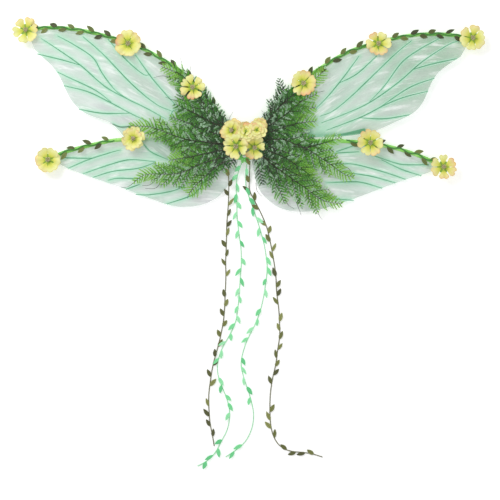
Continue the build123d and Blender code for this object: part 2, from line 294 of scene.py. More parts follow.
def cord_material(name, dark, light):
    """Twisted cord: fine slanting strands."""
    net = Net(name, Roughness=0.75, Sheen_Weight=0.4)
    strands = net.noise(650, detail=3, rough=0.6, stretch=(1, 0.35, 1))
    tone = net.noise(40, detail=2)
    net.colour(net.mix(tone, net.ramp(strands, (0.35, dark), (0.65, light)), flat(*light)))
    net.bump(strands, 0.7, 0.0004)
    return net.material


def petal_material():
    """"out" runs 0 in the middle to 1 at a petal's rim; "blush" is per petal."""
    net = Net("petal_silk", Roughness=0.62, Sheen_Weight=0.3, Sheen_Roughness=0.45)
    out = net.attribute("out")
    blotch = net.noise(120, detail=4, rough=0.65)
    wander = net.math("MULTIPLY_ADD", blotch, 0.30, out)
    ground = net.ramp(wander, (0.28, (112, 160, 30)), (0.42, (184, 206, 56)),
                      (0.62, (226, 228, 102)), (1.0, (241, 242, 166)))
    blush = net.math("MULTIPLY", net.attribute("blush"), net.math("POWER", out, 3.0), clamp=True)
    warm = net.ramp(blotch, (0.35, (238, 186, 96)), (0.62, (240, 178, 148)))
    dyed = net.mix(blush, ground, warm)
    # Painted shadow: a thin darker golden band along each petal's rim.
    rim = net.math("MULTIPLY", net.math("GREATER_THAN", out, 0.94), 0.28)
    dyed = net.mix(rim, dyed, flat(206, 158, 74))
    veins = net.attribute("streak")
    net.colour(net.mix(net.math("MULTIPLY", veins, 0.22), dyed, flat(196, 160, 50)))
    weave = net.noise(1100, detail=2)
    net.bump(net.math("ADD", weave, net.math("MULTIPLY", veins, 0.8)), 0.5, 0.0004)
    return net.material


def fern_material():
    """"along" runs from 0, old and dark, to 1, new and bright; "tint" and "dust" are per leaflet."""
    net = Net("fern_plastic", Roughness=0.45, Coat_Weight=0.1)
    tint = net.attribute("tint")
    patch = net.noise(60, detail=3)
    shade = net.math("MULTIPLY_ADD", tint, 0.30, net.attribute("along"))
    shade = net.math("MULTIPLY_ADD", patch, 0.2, shade)
    green = net.ramp(shade, (0.08, (10, 42, 22)), (0.30, (24, 76, 30)), (0.55, (54, 130, 30)),
                     (0.80, (92, 172, 44)), (1.0, (138, 206, 70)))
    speckle = net.noise(420, detail=3, rough=0.7)
    dusty = net.math("MULTIPLY", net.attribute("dust"), net.math("ADD", speckle, 0.4), clamp=True)
    net.colour(net.mix(dusty, green, flat(186, 228, 188)))
    net.bump(speckle, 0.3, 0.0003)
    return net.material


def felt_material():
    net = Net("back_felt", Roughness=0.95, Sheen_Weight=0.5, Sheen_Roughness=0.6)
    fibres = net.noise(420, detail=6, rough=0.8)
    mottle = net.noise(60, detail=3)
    net.colour(net.mix(mottle, net.ramp(fibres, (0.3, (196, 208, 184)), (0.7, (232, 238, 224))),
                       flat(214, 224, 204)))
    net.bump(fibres, 0.8, 0.001)
    return net.material


def elastic_material():
    """Knitted elastic: ribs along the band, from "across", and a fine cross knit."""
    net = Net("strap_elastic", Roughness=0.85, Sheen_Weight=0.35)
    rib = net.math("SINE", net.math("MULTIPLY", net.attribute("across"), 38.0))
    knit = net.math("SINE", net.math("MULTIPLY", net.attribute("run"), 5200.0))
    fuzz = net.noise(500, detail=3)
    height = net.math("MULTIPLY_ADD", knit, 0.3, rib)
    net.colour(net.mix(fuzz, flat(222, 230, 214), flat(240, 244, 236)))
    net.bump(height, 0.6, 0.0006)
    return net.material


def moulded_material(name, low, high, roughness):
    net = Net(name, Roughness=roughness, Coat_Weight=0.1)
    cloud = net.noise(35, detail=4)
    scuffs = net.noise(260, detail=5, rough=0.75, stretch=(1, 3, 1))
    net.colour(net.ramp(cloud, (0.35, low), (0.65, high)))
    net.rough(net.math("MULTIPLY_ADD", scuffs, 0.3, roughness))
    net.bump(scuffs, 0.15, 0.0004)
    return net.material


def brass_material():
    net = Net("rivet_brass", Metallic=1.0, Roughness=0.35)
    worn = net.noise(180, detail=5, rough=0.7)
    net.colour(net.ramp(worn, (0.35, (150, 116, 58)), (0.6, (214, 184, 112)), (0.8, (232, 210, 150))))
    net.rough(net.math("MULTIPLY_ADD", worn, 0.3, 0.2))
    net.bump(worn, 0.2, 0.0003)
    return net.material


MATERIALS = {
    "film": film_material(),
    "vein": vein_material(),
    # the pale mint print on each side of a vein
    "glow": grained("vein_glow", 60, 3, (0.3, (186, 244, 212)), (0.7, (216, 254, 234)),
                    bump=0.1, Roughness=0.5, Alpha=0.45),
    "tape": tape_material(),
    "garland": leaf_material("garland_leaf", (40, 44, 18), (78, 88, 36), (116, 128, 60)),
    "garland_cord": cord_material("garland_cord", (32, 92, 28), (66, 144, 50)),
    "olive_leaf": leaf_material("olive_leaf", (58, 60, 24), (98, 104, 44), (142, 148, 82)),
    "mint_leaf": leaf_material("mint_leaf", (74, 196, 118), (122, 226, 152), (172, 244, 190)),
    "olive_cord": cord_material("olive_cord", (58, 60, 34), (112, 112, 70)),
    "mint_cord": cord_material("mint_cord", (120, 196, 142), (178, 232, 190)),
    "knot_leaf": leaf_material("knot_leaf", (60, 176, 66), (104, 218, 98), (156, 240, 140)),
    "knot_cord": cord_material("knot_cord", (74, 188, 74), (136, 236, 122)),
    "calyx": leaf_material("calyx_green", (96, 140, 34), (134, 176, 50), (164, 200, 70)),
    "petal": petal_material(),
    "stamen": grained("stamen_bead", 800, 2, (0.35, (168, 140, 108)), (0.5, (214, 188, 160)),
                      (0.7, (232, 214, 196)), bump=0.4, Roughness=0.5, Subsurface_Weight=0.1),
    "fern": fern_material(),
    "stalk": grained("fern_stalk", 300, 3, (0.35, (28, 30, 22)), (0.7, (66, 64, 44)),
                     bump=0.4, Roughness=0.5),
    "felt": felt_material(),
    "elastic": elastic_material(),
    "plate": moulded_material("moulded_plate", (196, 208, 188), (220, 228, 212), 0.42),
    "slider": moulded_material("slider_plastic", (222, 228, 218), (238, 242, 234), 0.2),
    "brass": brass_material(),
    "paper": grained("studio_paper", 60, 4, (0.3, (250, 250, 250)), (0.7, (254, 254, 254)),
                     Roughness=0.9, Emission_Color=(1, 1, 1, 1), Emission_Strength=0.25),
}


# ---- Curves and meshes ----
def as_array(points):
    return np.array([[*p, 0.0][:3] if len(p) == 2 else p for p in points], float)


def smooth_line(points, step):
    """A smooth curve through the points, as points about step apart."""
    p = as_array(points)
    ends = np.vstack([2 * p[0] - p[1], p, 2 * p[-1] - p[-2]])
    t = np.linspace(0, 1, 24, endpoint=False)[:, None]
    dense = []
    for a, b, c, d in zip(ends, ends[1:], ends[2:], ends[3:]):
        dense.append(0.5 * (2 * b + (c - a) * t + (2 * a - 5 * b + 4 * c - d) * t**2
                            + (3 * b - a - 3 * c + d) * t**3))
    return resample(np.vstack([*dense, p[-1:]]), step)


def resample(line, step):
    along = distances(line)
    at = np.linspace(0, along[-1], max(3, math.ceil(along[-1] / step) + 1))
    return np.stack([np.interp(at, along, line[:, k]) for k in range(3)], axis=1)


def distances(line):
    return np.concatenate([[0], np.cumsum(np.linalg.norm(np.diff(line, axis=0), axis=1))])


def directions(line):
    way = np.gradient(line, axis=0)
    return way / np.linalg.norm(way, axis=1)[:, None]


def at_length(rows, along, at):
    """A line's point, or its heading, a given length along it."""
    return np.array([np.interp(at, along, rows[:, k]) for k in range(3)])


def off_line(points, line):
    """How far each point is from a line, seen from above."""
    p = points[:, None, :2]
    a, b = line[None, :-1, :2], line[None, 1:, :2]
    run = b - a
    t = np.clip(((p - a) * run).sum(2) / (run * run).sum(2), 0, 1)
    return np.linalg.norm(a + t[..., None] * run - p, axis=2).min(1)


def smooth_step(value, low, high):
    t = np.clip((value - low) / (high - low), 0, 1)
    return t * t * (3 - 2 * t)


class Build:
    """Collects vertices, faces and per-vertex numbers, then makes one mesh object."""

    def __init__(self):
        self.points, self.faces, self.slots = [], [], []
        self.numbers = {}

    def add(self, points, faces, slot=0, **numbers):
        start = len(self.points)
        self.points.extend(points)
        self.faces.extend(tuple(start + i for i in face) for face in faces)
        self.slots.extend([slot] * len(faces))
        for name, values in numbers.items():
            column = self.numbers.setdefault(name, [])
            column.extend([0.0] * (start - len(column)))
            column.extend(values if hasattr(values, "__len__") else [values] * len(points))

    def grid(self, rows, slot=0, closed=False, capped=True, **numbers):
        """Faces between rows of points; a closed grid joins each row's ends and has end caps."""
        rows = np.asarray(rows)
        count, width = rows.shape[:2]
        faces = []
        for i in range(count - 1):
            for j in range(width if closed else width - 1):
                k = (j + 1) % width
                faces.append((i * width + j, i * width + k, (i + 1) * width + k, (i + 1) * width + j))
        if closed and capped:
            faces.append(tuple(range(width))[::-1])
            faces.append(tuple((count - 1) * width + j for j in range(width)))
        flat_numbers = {name: np.asarray(v).ravel() for name, v in numbers.items()}
        self.add(rows.reshape(-1, 3), faces, slot, **flat_numbers)

    def object(self, name, *materials, smooth=True, thickness=0.0):
        mesh = bpy.data.meshes.new(name)
        mesh.from_pydata([tuple(p) for p in self.points], [], self.faces)
        mesh.polygons.foreach_set("material_index", self.slots)
        mesh.polygons.foreach_set("use_smooth", [smooth] * len(self.faces))
        for key, column in self.numbers.items():
            column.extend([0.0] * (len(self.points) - len(column)))
            mesh.attributes.new(key, "FLOAT", "POINT").data.foreach_set("value", column)
        for material in materials:
            mesh.materials.append(MATERIALS[material])
        mesh.update()
        obj = bpy.data.objects.new(name, mesh)
        bpy.context.scene.collection.objects.link(obj)
        if thickness:
            solid = obj.modifiers.new("thickness", "SOLIDIFY")
            solid.thickness = thickness
            solid.offset = 0
        return obj


def tube_rows(line, radius, sides=12, turn=0.0):
    """Rings round a line; radius is one number, or one for each point and side."""
    way = directions(line)
    up = np.tile([0.0, 0.0, 1.0], (len(line), 1))
    across = np.cross(way, up)
    across /= np.linalg.norm(across, axis=1)[:, None]
    up = np.cross(across, way)
    angle = np.linspace(0, 2 * math.pi, sides, endpoint=False) + turn
    radii = np.broadcast_to(radius, (len(line), sides))
    return (line[:, None] + radii[..., None] * (
        np.cos(angle)[None, :, None] * across[:, None]
        + np.sin(angle)[None, :, None] * up[:, None]))


def add_leaf(build, foot, way, up, length, width, rng, slot=0):
    """A pointed leaf folded along its midrib and curling at the tip."""
    way = Vector(way).normalized()
    side = way.cross(Vector(up)).normalized()
    up = side.cross(way)
    tint = rng.random()
    droop = LEAF_CURL * rng.uniform(-0.4, 1.0)
    fold = rng.uniform(0.10, 0.24)
    columns = range(-2, 3)
    rows = []
    for i in range(8):
        t = i / 7
        half = width / 2 * max(0.02, math.sin(math.pi * t**0.85) ** 0.85)
        middle = Vector(foot) + way * (length * t) + up * (length * droop * (t - t * t * 1.6))
        lifts = [fold * half * abs(j) / 2 + 0.06 * half * math.sin(9 * t + j) for j in columns]
        rows.append([middle + side * (half * j / 2) + up * lift for j, lift in zip(columns, lifts)])
    across = [[abs(j) / 2 for j in columns]] * len(rows)
    build.grid(rows, slot, across=across, tint=np.full((len(rows), len(columns)), tint))


# ---- Camera, light and floor ----
def make_camera():
    camera = bpy.data.objects.new("camera", bpy.data.cameras.new("camera"))
    camera.data.sensor_width = SENSOR_MM
    camera.data.lens = SENSOR_MM * CAMERA_HEIGHT / VIEW_WIDTH
    camera.location = (*VIEW_CENTRE, CAMERA_HEIGHT)
    bpy.context.scene.collection.objects.link(camera)
    bpy.context.scene.camera = camera


def soft_light(name, place, size, power):
    lamp = bpy.data.lights.new(name, "AREA")
    lamp.size = size
    lamp.energy = power
    light = bpy.data.objects.new(name, lamp)
    light.location = place
    target = Vector((0, -0.2, 0))
    light.rotation_euler = (target - light.location).to_track_quat("-Z", "Y").to_euler()
    bpy.context.scene.collection.objects.link(light)


def make_studio():
    scene = bpy.context.scene
    scene.view_settings.view_transform = "Standard"
    scene.world = bpy.data.worlds.new("studio")
    scene.world.use_nodes = True
    sky = scene.world.node_tree.nodes["Background"]
    sky.inputs["Color"].default_value = (1, 1, 1, 1)
    sky.inputs["Strength"].default_value = WORLD_LIGHT
    for name, settings in LAMPS.items():
        soft_light(name, *settings)
    steps = np.linspace(-STUDIO_REACH, STUDIO_REACH, 5)
    build = Build()
    build.grid([[(x, y, -STUDIO_DROP) for x in steps] for y in steps])
    build.object("floor", "paper", smooth=False)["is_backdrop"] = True


make_camera()
make_studio()

# ---- The four free vines ----
# Each vine's route in millimetres, from the knot down; a place with no height lies on the floor.
FLOOR = 1.0
VINES = {
    "olive_left": [
        (-33, -38, 14.5), (-35, -62, 14.2), (-34, -88, 13.4), (-34.5, -112, 6.5), (-36, -136),
        (-39, -170), (-39, -205), (-41, -240), (-40, -275), (-42, -310), (-43, -345), (-48, -378),
        (-56, -412), (-66, -446), (-71, -478), (-75, -508), (-74, -540), (-72, -566), (-67, -588),
        (-63.5, -610),
    ],
    "green_left": [
        (-6, -40.5, 12.5), (-13, -54, 9), (-18, -72, 4), (-20, -92), (-18, -118), (-18.5, -145),
        (-15, -180), (-10, -212), (-9, -245), (-12, -280), (-14, -312), (-17, -342), (-22, -368),
        (-36, -394), (-50, -418), (-58, -446), (-56, -472), (-44, -500), (-34, -528), (-32, -552),
        (-37, -578), (-50, -602), (-60, -622), (-76, -640), (-97, -650),
    ],
    "green_right": [
        (3, -41, 12.5), (0, -56, 9), (-1, -74, 4), (0, -94), (7, -116), (17, -142), (26, -170),
        (35, -200), (40, -228), (43, -256), (39, -288), (34, -318), (27, -346), (15, -374),
        (2, -398), (-7, -424), (-11, -448), (-5, -472), (4, -498), (12, -524), (16, -548),
        (13, -572), (4, -594), (-10, -611), (-26, -622), (-41, -632),
    ],
    "olive_right": [
        (8, -40, 13), (7.5, -56, 9.5), (7, -76, 4), (5.5, -98), (17, -119), (30, -144), (42, -172),
        (49, -204), (55, -236), (60, -268), (60.5, -300), (65.5, -332), (67, -362), (68, -390),
        (63, -418), (60, -446), (53, -474), (48.5, -504), (47.5, -534), (48.5, -562), (53, -588),
        (66, -610), (88, -621), (114, -622.5), (136, -626), (153, -632),
    ],
}
CORD_DIAMETER = 2.0 * MM
# Lengths of cord without leaves, at the knot and at the free end, and how far a leaf may stray.
VINE_NECK = 6 * MM
VINE_TAIL = 12 * MM
LEAF_STRAY = 2 * MM
# How steeply a mint leaf rises, so that it stays clear of the olive ones.
MINT_RISE = 0.10
# One letter for each leaf's place, from the top: L and R are sides as seen, - is a bare place.
VINE_LEAVES = {
    "olive_left": "-RLRLLLLRLRL-RLRLRLRLRL-RRRL",
    "green_left": "LLRLRLRLR-RLRLRLRLRLRL-RLRRL--LRLR",
    "green_right": "R-RRLRLR-RRLR-LRLL-RRLRL----LR",
    "olive_right": "R-RRLR-RLRLR-RLLR-LRLLRLLR--LRRL-LRRL",
}


def vine_cord(name, route):
    """A NURBS cord whose control points are the route's points, in millimetres."""
    curve = bpy.data.curves.new(f"vine_{name}_cord", "CURVE")
    curve.dimensions = "3D"
    curve.bevel_depth = CORD_DIAMETER / 2
    curve.bevel_resolution = 3
    spline = curve.splines.new("NURBS")
    spline.points.add(len(route) - 1)
    for point, (x, y, z) in zip(spline.points, route):
        point.co = (x * MM, y * MM, z * MM, 1)
    spline.order_u = 3
    spline.use_endpoint_u = True
    spline.resolution_u = 10
    cord = bpy.data.objects.new(f"vine_{name}_cord", curve)
    bpy.context.scene.collection.objects.link(cord)
    return cord


def cord_line(cord):
    """The points down the middle of a cord's curve."""
    bare = bpy.data.objects.new("bare", cord.data.copy())
    bare.data.bevel_depth = 0
    mesh = bpy.data.meshes.new_from_object(bare)
    line = np.array([v.co for v in mesh.vertices], float).reshape(-1, 3)
    bpy.data.meshes.remove(mesh)
    bpy.data.curves.remove(bare.data)
    return line


def vine_leaves(name, line, rng):
    """Leaves along a cord: the olive ones point back to the knot, the mint ones away from it."""
    olive = name.startswith("olive")
    pattern = VINE_LEAVES[name]
    build = Build()
    along, way = distances(line), directions(line)
    for number, side in enumerate(pattern):
        at = (number + 0.6) / len(pattern) * (along[-1] - VINE_TAIL) + rng.uniform(-1, 1) * LEAF_STRAY
        if side == "-" or at < VINE_NECK:
            continue
        foot = Vector(at_length(line, along, at))
        heading = Vector(at_length(way, along, at)) * (-1 if olive else 1)
        turn = math.radians(rng.uniform(14, 36)) * (-1 if side == "L" else 1)
        out = Vector((heading.x * math.cos(turn) - heading.y * math.sin(turn),
                      heading.x * math.sin(turn) + heading.y * math.cos(turn),
                      heading.z + (0.0 if olive else MINT_RISE)))
        foot.z += (0.5 if olive else 1.6) * MM
        length = LEAF_LENGTH * rng.uniform(0.85, 1.08)
        add_leaf(build, foot, out, (0, 0, 1), length, LEAF_WIDTH * rng.uniform(0.72, 1.0), rng)
    return build.object(f"vine_{name}_leaves", "olive_leaf" if olive else "mint_leaf",
                        thickness=SHEET_THICKNESS)


def make_vines():
    for number, (name, points) in enumerate(VINES.items()):
        colour = "olive" if name.startswith("olive") else "mint"
        route = [(*point, FLOOR)[:3] for point in points]
        cord = vine_cord(name, route)
        cord.data.materials.append(MATERIALS[f"{colour}_cord"])
        leaves = vine_leaves(name, cord_line(cord), random.Random(40 + number))
        hand_over(cord, f"{colour}_stem", f"vine_{name}", body="harness")
        hand_over(leaves, f"{colour}_leaf", f"vine_leaves_{name}", body="harness")
        exit_point = tuple(c * MM for c in route[0])


make_vines()

# ---- Wings: films, veins, taped wires and leaf garlands ----
# Inner ends of the wires, under the clamp plate, in millimetres from the bend inwards.
STUBS = {
    "upper_left": [(-38, 35), (-10, 8)],
    "upper_right": [(40, 38), (10, 8)],
    "lower_left": [(-34, -5.2), (-12, -5.3)],
    "lower_right": [(34, -5.2), (12, -5.3)],
}
# Printed veins, in millimetres: each a smooth line, from the free edge or the wire inwards.
VEINS = {
    "upper_left": [
        [(-408, 203), (-380, 185), (-330, 150), (-280, 107), (-235, 82), (-200, 65), (-160, 43)],
        [(-415, 172), (-365, 160), (-328, 149)],
        [(-375, 208), (-345, 192), (-305, 165), (-285, 132), (-260, 100), (-236, 83)],
        [(-325, 207), (-285, 172), (-225, 110), (-180, 73), (-148, 58)],
        [(-275, 202), (-240, 162), (-205, 132), (-190, 131)],
        [(-220, 170), (-190, 128), (-165, 98), (-140, 70)],
        [(-375, 136), (-350, 124), (-300, 100), (-268, 76)],
        [(-362, 109), (-315, 97), (-275, 78), (-230, 54), (-195, 37)],
        [(-332, 62), (-285, 54), (-232, 54)],
        [(-265, 33), (-250, 27), (-232, 28)],
        [(-136, 62), (-146, 58), (-150, 46)],
    ],
    "upper_right": [
        [(425, 199), (400, 189), (350, 156), (300, 113), (245, 75), (195, 52), (150, 35)],
        [(420, 163), (370, 152), (332, 141)],
        [(385, 203), (345, 181), (310, 155), (275, 108), (246, 77)],
        [(330, 199), (295, 170), (215, 93), (175, 60), (148, 48)],
        [(260, 168), (220, 132), (183, 113)],
        [(225, 168), (195, 127), (165, 90), (138, 62)],
        [(375, 124), (325, 105), (265, 65)],
        [(362, 98), (315, 86), (275, 70), (230, 47), (160, 20)],
        [(325, 51), (275, 43), (228, 45)],
    ],
    "lower_left": [
        [(-365, -34), (-315, -35), (-300, -33)],
        [(-355, -55), (-315, -38), (-275, -25), (-250, -18)],
        [(-325, -66), (-285, -52), (-245, -40), (-220, -38), (-180, -42)],
        [(-305, -73), (-265, -61), (-215, -55), (-180, -43)],
        [(-275, -79), (-255, -75), (-212, -76)],
        [(-240, -97), (-212, -87)],
        [(-220, -107), (-195, -108), (-150, -101), (-125, -92)],
        [(-158, -126), (-115, -112), (-100, -103), (-78, -75)],
        [(-206, -4), (-190, -22), (-156, -38)],
    ],
    "lower_right": [
        [(365, -48), (320, -48), (300, -45), (255, -30)],
        [(350, -70), (310, -57), (270, -38)],
        [(318, -77), (280, -64), (230, -50), (205, -46), (180, -48)],
        [(298, -84), (250, -71), (205, -64), (185, -60)],
        [(272, -95), (235, -84), (210, -82), (160, -84)],
        [(215, -119), (175, -116), (155, -115)],
        [(225, -22), (175, -25)],
        [(215, -10), (180, -22)],
    ],
}
# Height of a film's middle, and of its edge where it is stuck to the wire.
FILM_HEIGHTS = {"upper": (16.0 * MM, 12.6 * MM), "lower": (8.2 * MM, 10.9 * MM)}
# The upper and lower inner corners of a lower film's root, in millimetres from the middle.
ROOT_CORNERS = [(13, -3), (15, -43)]
# Where a film is dyed a deeper mint, in millimetres.
MINT_PATCHES = {"lower_left": (-172, -24), "lower_right": (150, 0), "upper_right": (150, 20)}
PATCH_RADIUS = 42 * MM
# Streaks of teal dye, in millimetres, beside the lower right wire.
TEAL_STREAKS = {
    "upper_right": [(112, 4), (146, 10), (184, 9), (212, 13), (236, 17)],
    "lower_right": [(78, -14), (104, -10), (134, -4)],
}
STREAK_WIDTH = 6.5 * MM
# A printed wedge by the middle flower of the lower right wing, and its widths from end to end.
WEDGES = {"upper_right": [(172, 9.5), (190, 11.5), (210, 14.8), (237, 20.0)]}
WEDGE_WIDTHS = (2.0 * MM, 9.0 * MM)
DEEP_WING = "upper_right"
DEEP_FROM = 360 * MM         # how far out it is at its darkest


def centre(node):
    low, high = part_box(node)
    return (low + high) / 2


def outline(node):
    """The edge of a flat CAD plate's upper face, as points in order."""
    mesh = frame["nodes"][node].data
    top = max(v.co.z for v in mesh.vertices) - 0.05 * MM
    key = {v.index: (round(v.co.x, 6), round(v.co.y, 6)) for v in mesh.vertices if v.co.z > top}
    uses = {}
    for face in mesh.polygons:
        ring = list(face.vertices)
        if all(i in key for i in ring):
            for a, b in zip(ring, ring[1:] + ring[:1]):
                pair = (key[a], key[b])
                uses[frozenset(pair)] = None if frozenset(pair) in uses else pair
    after = dict(pair for pair in uses.values() if pair)
    start = point = next(iter(after))
    loop = [start]
    while after[point] != start:
        point = after[point]
        loop.append(point)
    return np.array([(x, y, 0.0) for x, y in loop])


def nearest(loop, place):
    return int(np.linalg.norm(loop[:, :2] - np.array(place)[:2], axis=1).argmin())


def between(loop, first, last):
    """The shorter way round a loop from one of its points to another."""
    count = len(loop)
    forward = range(first, first + (last - first) % count + 1)
    backward = range(first, first - (first - last) % count - 1, -1)
    ways = [np.take(loop, places, axis=0, mode="wrap") for places in (forward, backward)]
    return min(ways, key=lambda way: distances(way)[-1])


def top_and_bottom(loop, chosen):
    """The highest and the lowest of the chosen points of a loop."""
    places = np.flatnonzero(chosen)
    return max(places, key=lambda i: loop[i, 1]), min(places, key=lambda i: loop[i, 1])


def wing_edges(wing):
    """The wire's line and the free edge of a wing, both from the bend to the tip."""
    loop = outline(f"{wing}_film")
    inner = np.abs(loop[:, 0]) < np.abs(loop[:, 0]).min() + 0.4 * MM
    top, bottom = top_and_bottom(loop, inner)
    tip = centre(f"{wing}_tip_flower")
    far = [i for i in range(len(loop)) if np.linalg.norm(loop[i, :2] - np.array(tip[:2])) < TIP_REACH]
    free_tip = min(far, key=lambda i: loop[i, 1] - 0.2 * side_of(wing) * loop[i, 0])
    return between(loop, top, nearest(loop, tip)), between(loop, bottom, free_tip)


def ripples(points, seed):
    """Shallow folds that run along a wing, and a few soft dents."""
    x, y = points[:, 0] * 1000, points[:, 1] * 1000
    lean = np.abs(x) * 0.55 - y if seed % 2 else np.abs(x) * 0.30 + y
    wave = np.sin(lean / 17 + seed) * 0.5 + np.sin(lean / 7.3 + np.abs(x) / 60 + 2 * seed) * 0.22
    dents = np.sin(x / 31 + seed) * np.cos(y / 23 - seed) * 0.35
    return (wave + dents) * FILM_RIPPLE


def film_height(wing, wire, points, seed):
    middle, edge = FILM_HEIGHTS[wing.split("_")[0]]
    away = smooth_step(off_line(points, wire), 1.5 * MM, FILM_LIP)
    return edge + (middle + ripples(points, seed) - edge) * away


def add_root(wing, lead, free):
    """Takes the two edges of a lower film on inwards, under the centre."""
    root = outline(f"{wing}_film_root")
    top, bottom = top_and_bottom(root, np.abs(root[:, 0]) > HINGE_X - 0.5 * MM)
    high, low = [nearest(root, (side_of(wing) * x * MM, y * MM)) for x, y in ROOT_CORNERS]
    return (np.vstack([between(root, high, top), lead]),
            np.vstack([between(root, low, bottom), free]))


def film_dyes(wing, points, run):
    """How much halo and teal dye each point of a film has, and how far it is darkened, from 0 to 1."""
    vein = np.min([off_line(points, vein_line(vein)) for vein in VEINS[wing]], axis=0)
    halo = np.exp(-(vein / HALO_WIDTH) ** 2)
    if wing in MINT_PATCHES:
        away = np.linalg.norm(points[:, :2] - np.array(MINT_PATCHES[wing]) * MM, axis=1)
        halo = np.maximum(halo, np.exp(-(away / PATCH_RADIUS) ** 2))
    teal = np.zeros(len(points))
    if wing in TEAL_STREAKS:
        teal = np.exp(-(off_line(points, vein_line(TEAL_STREAKS[wing])) / STREAK_WIDTH) ** 2)
    deep = np.clip(run / DEEP_FROM, 0, 1) ** 2 * (wing == DEEP_WING)
    return {"halo": halo, "deep": deep, "teal": teal}


def make_film(wing, wire, lead, free, seed):
    """One sheet from the wire to the free edge; a lower one runs on under the centre."""
    lower = wing.startswith("lower")
    if lower:
        lead, free = add_root(wing, lead, free)
    columns, rows = FILM_GRID
    lead = resample(lead, distances(lead)[-1] / columns)[: columns + 1]
    free = resample(free, distances(free)[-1] / columns)[: columns + 1]
    share = np.linspace(0, 1, rows + 1)[:, None, None]
    points = lead[None] * (1 - share) + free[None] * share
    raised = points.reshape(-1, 3).copy()
    raised[:, 2] = film_height(wing, wire, raised, seed)
    run = np.broadcast_to(distances(lead)[None], points.shape[:2])
    span = np.linalg.norm(free - lead, axis=1)[None] * share[..., 0]
    build = Build()
    build.grid(raised.reshape(points.shape), run=run + 0.3 * seed, across=span,
               **film_dyes(wing, raised, run))
    film = build.object(f"{wing}_wing_film", "film")
    hand_over(film, "wing_film", f"{wing}_film", *[f"{wing}_film_root"] * lower)
    if lower:
        bend_over(film, wing, HINGE_X - FILM_BEND, HINGE_X + FILM_BEND)
    else:
        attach(film, f"{wing}_wing")


def vein_line(points):
    return smooth_line(np.array(points) * MM, 3 * MM)


def vein_ribbon(build, wing, wire, line, width, lift, seed, slot):
    """A low ribbon that follows the film's surface along a line."""
    way = directions(line)
    across = np.stack([-way[:, 1], way[:, 0], np.zeros(len(line))], axis=1)
    rows = []
    for place, rise in ((-0.5, 0.1), (-0.25, 0.8), (0, 1.0), (0.25, 0.8), (0.5, 0.1)):
        column = line + across * (width * place)[:, None]
        column[:, 2] = film_height(wing, wire, column, seed) + (lift * rise + 0.08) * MM
        rows.append(column)
    build.grid(np.stack(rows, axis=1), slot)


def make_veins(wing, wire, seed):
    build = Build()
    for points in VEINS[wing]:
        line = vein_line(points)
        share = distances(line) / distances(line)[-1]
        swell = 0.45 + 0.55 * np.sin(np.pi * np.clip(share * 0.9 + 0.08, 0, 1))
        vein_ribbon(build, wing, wire, line, GLOW_WIDTH * swell, 0.10, seed, 1)
        vein_ribbon(build, wing, wire, line, VEIN_WIDTH * swell, 0.35, seed, 0)
    if wing in WEDGES:
        line = vein_line(WEDGES[wing])
        vein_ribbon(build, wing, wire, line, np.linspace(*WEDGE_WIDTHS, len(line)), 0.2, seed, 0)
    veins = build.object(f"{wing}_veins", "vein", "glow")
    hand_over(veins, "wing_film", body=f"{wing}_wing")


def make_wire(wing, wire_line):
    """The wire with its crepe tape, wound in overlapping turns."""
    line = resample(wire_line, 1.1 * MM)
    sides = 20
    turns = distances(line)[:, None] / TAPE_PITCH - np.linspace(0, 1, sides, endpoint=False)[None]
    lap = turns % 1.0
    radius = TAPED_RADIUS * (0.92 + 0.13 * lap - 0.05 * smooth_step(lap, 0.9, 1.0))
    build = Build()
    build.grid(tube_rows(line, radius, sides), closed=True)
    wire = build.object(f"{wing}_taped_wire", "tape")
    hand_over(wire, "green_tape", f"{wing}_frame_wire")
    bend_over(wire, wing, HINGE_X - WIRE_BEND, HINGE_X + WIRE_BEND)


def make_garland(wing, wire_line, seed):
    """A leaf cord wound round the wire, its leaves lying flat on alternate sides."""
    rng = random.Random(seed)
    node = f"{wing}_leaf_garland"
    start_x = HINGE_X + 1 * MM
    if wing.startswith("lower"):
        start_x = min(abs(corner.x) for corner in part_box(node))
    line = resample(wire_line[np.abs(wire_line[:, 0]) > start_x], 1.5 * MM)
    along, way = distances(line), directions(line)
    up = np.array([0, 0, 1.0])
    across = np.cross(way, up)
    sway = 0.4 * np.cos(2 * math.pi * along / TWINE_PITCH + seed)
    orbit = TAPED_RADIUS + TWINE_RADIUS * 0.7
    twine = line + orbit * (np.sin(sway)[:, None] * across + np.cos(sway)[:, None] * up)
    build = Build()
    build.grid(tube_rows(twine, TWINE_RADIUS, 8), 1, closed=True)
    for number in range(int(along[-1] / (TWINE_PITCH / 2))):
        at = (number + 0.5) * TWINE_PITCH / 2 + rng.uniform(-1, 1) * LEAF_STRAY
        foot = Vector(at_length(line, along, at))
        heading = Vector(at_length(way, along, at))
        out = Vector(at_length(across, along, at)) * (-1 if number % 2 else 1)
        foot += out * (TAPED_RADIUS * 0.55) + Vector((0, 0, TAPED_RADIUS * 1.1))
        lean = math.radians(rng.uniform(14, 34))
        leaf_way = heading * math.cos(lean) + out * math.sin(lean)
        length = LEAF_LENGTH * rng.uniform(0.85, 1.05)
        add_leaf(build, foot, leaf_way, up, length, LEAF_WIDTH * rng.uniform(0.85, 1.1), rng)
    garland = build.object(f"{wing}_garland", "garland", "garland_cord", thickness=SHEET_THICKNESS)
    hand_over(garland, "garland_leaf", node, body=f"{wing}_wing")


def make_wing(wing, seed):
    """All of a wing's own pieces but its flowers and ferns."""
    lead, free = wing_edges(wing)
    tip = np.array(centre(f"{wing}_tip_flower"))
    outer = resample(np.vstack([lead[1:], tip[None] * [1, 1, 0]]), 9 * MM)
    inner = as_array(STUBS[wing])[::-1] * MM
    wire_line = smooth_line(np.vstack([inner, outer]), 3 * MM)
    wire_line[:, 2] = WIRE_Z
    make_wire(wing, wire_line)
    make_film(wing, wire_line, lead, free, seed)
    make_veins(wing, wire_line, seed)
    make_garland(wing, wire_line, seed)


for number, wing in enumerate(WINGS):
    make_wing(wing, number)


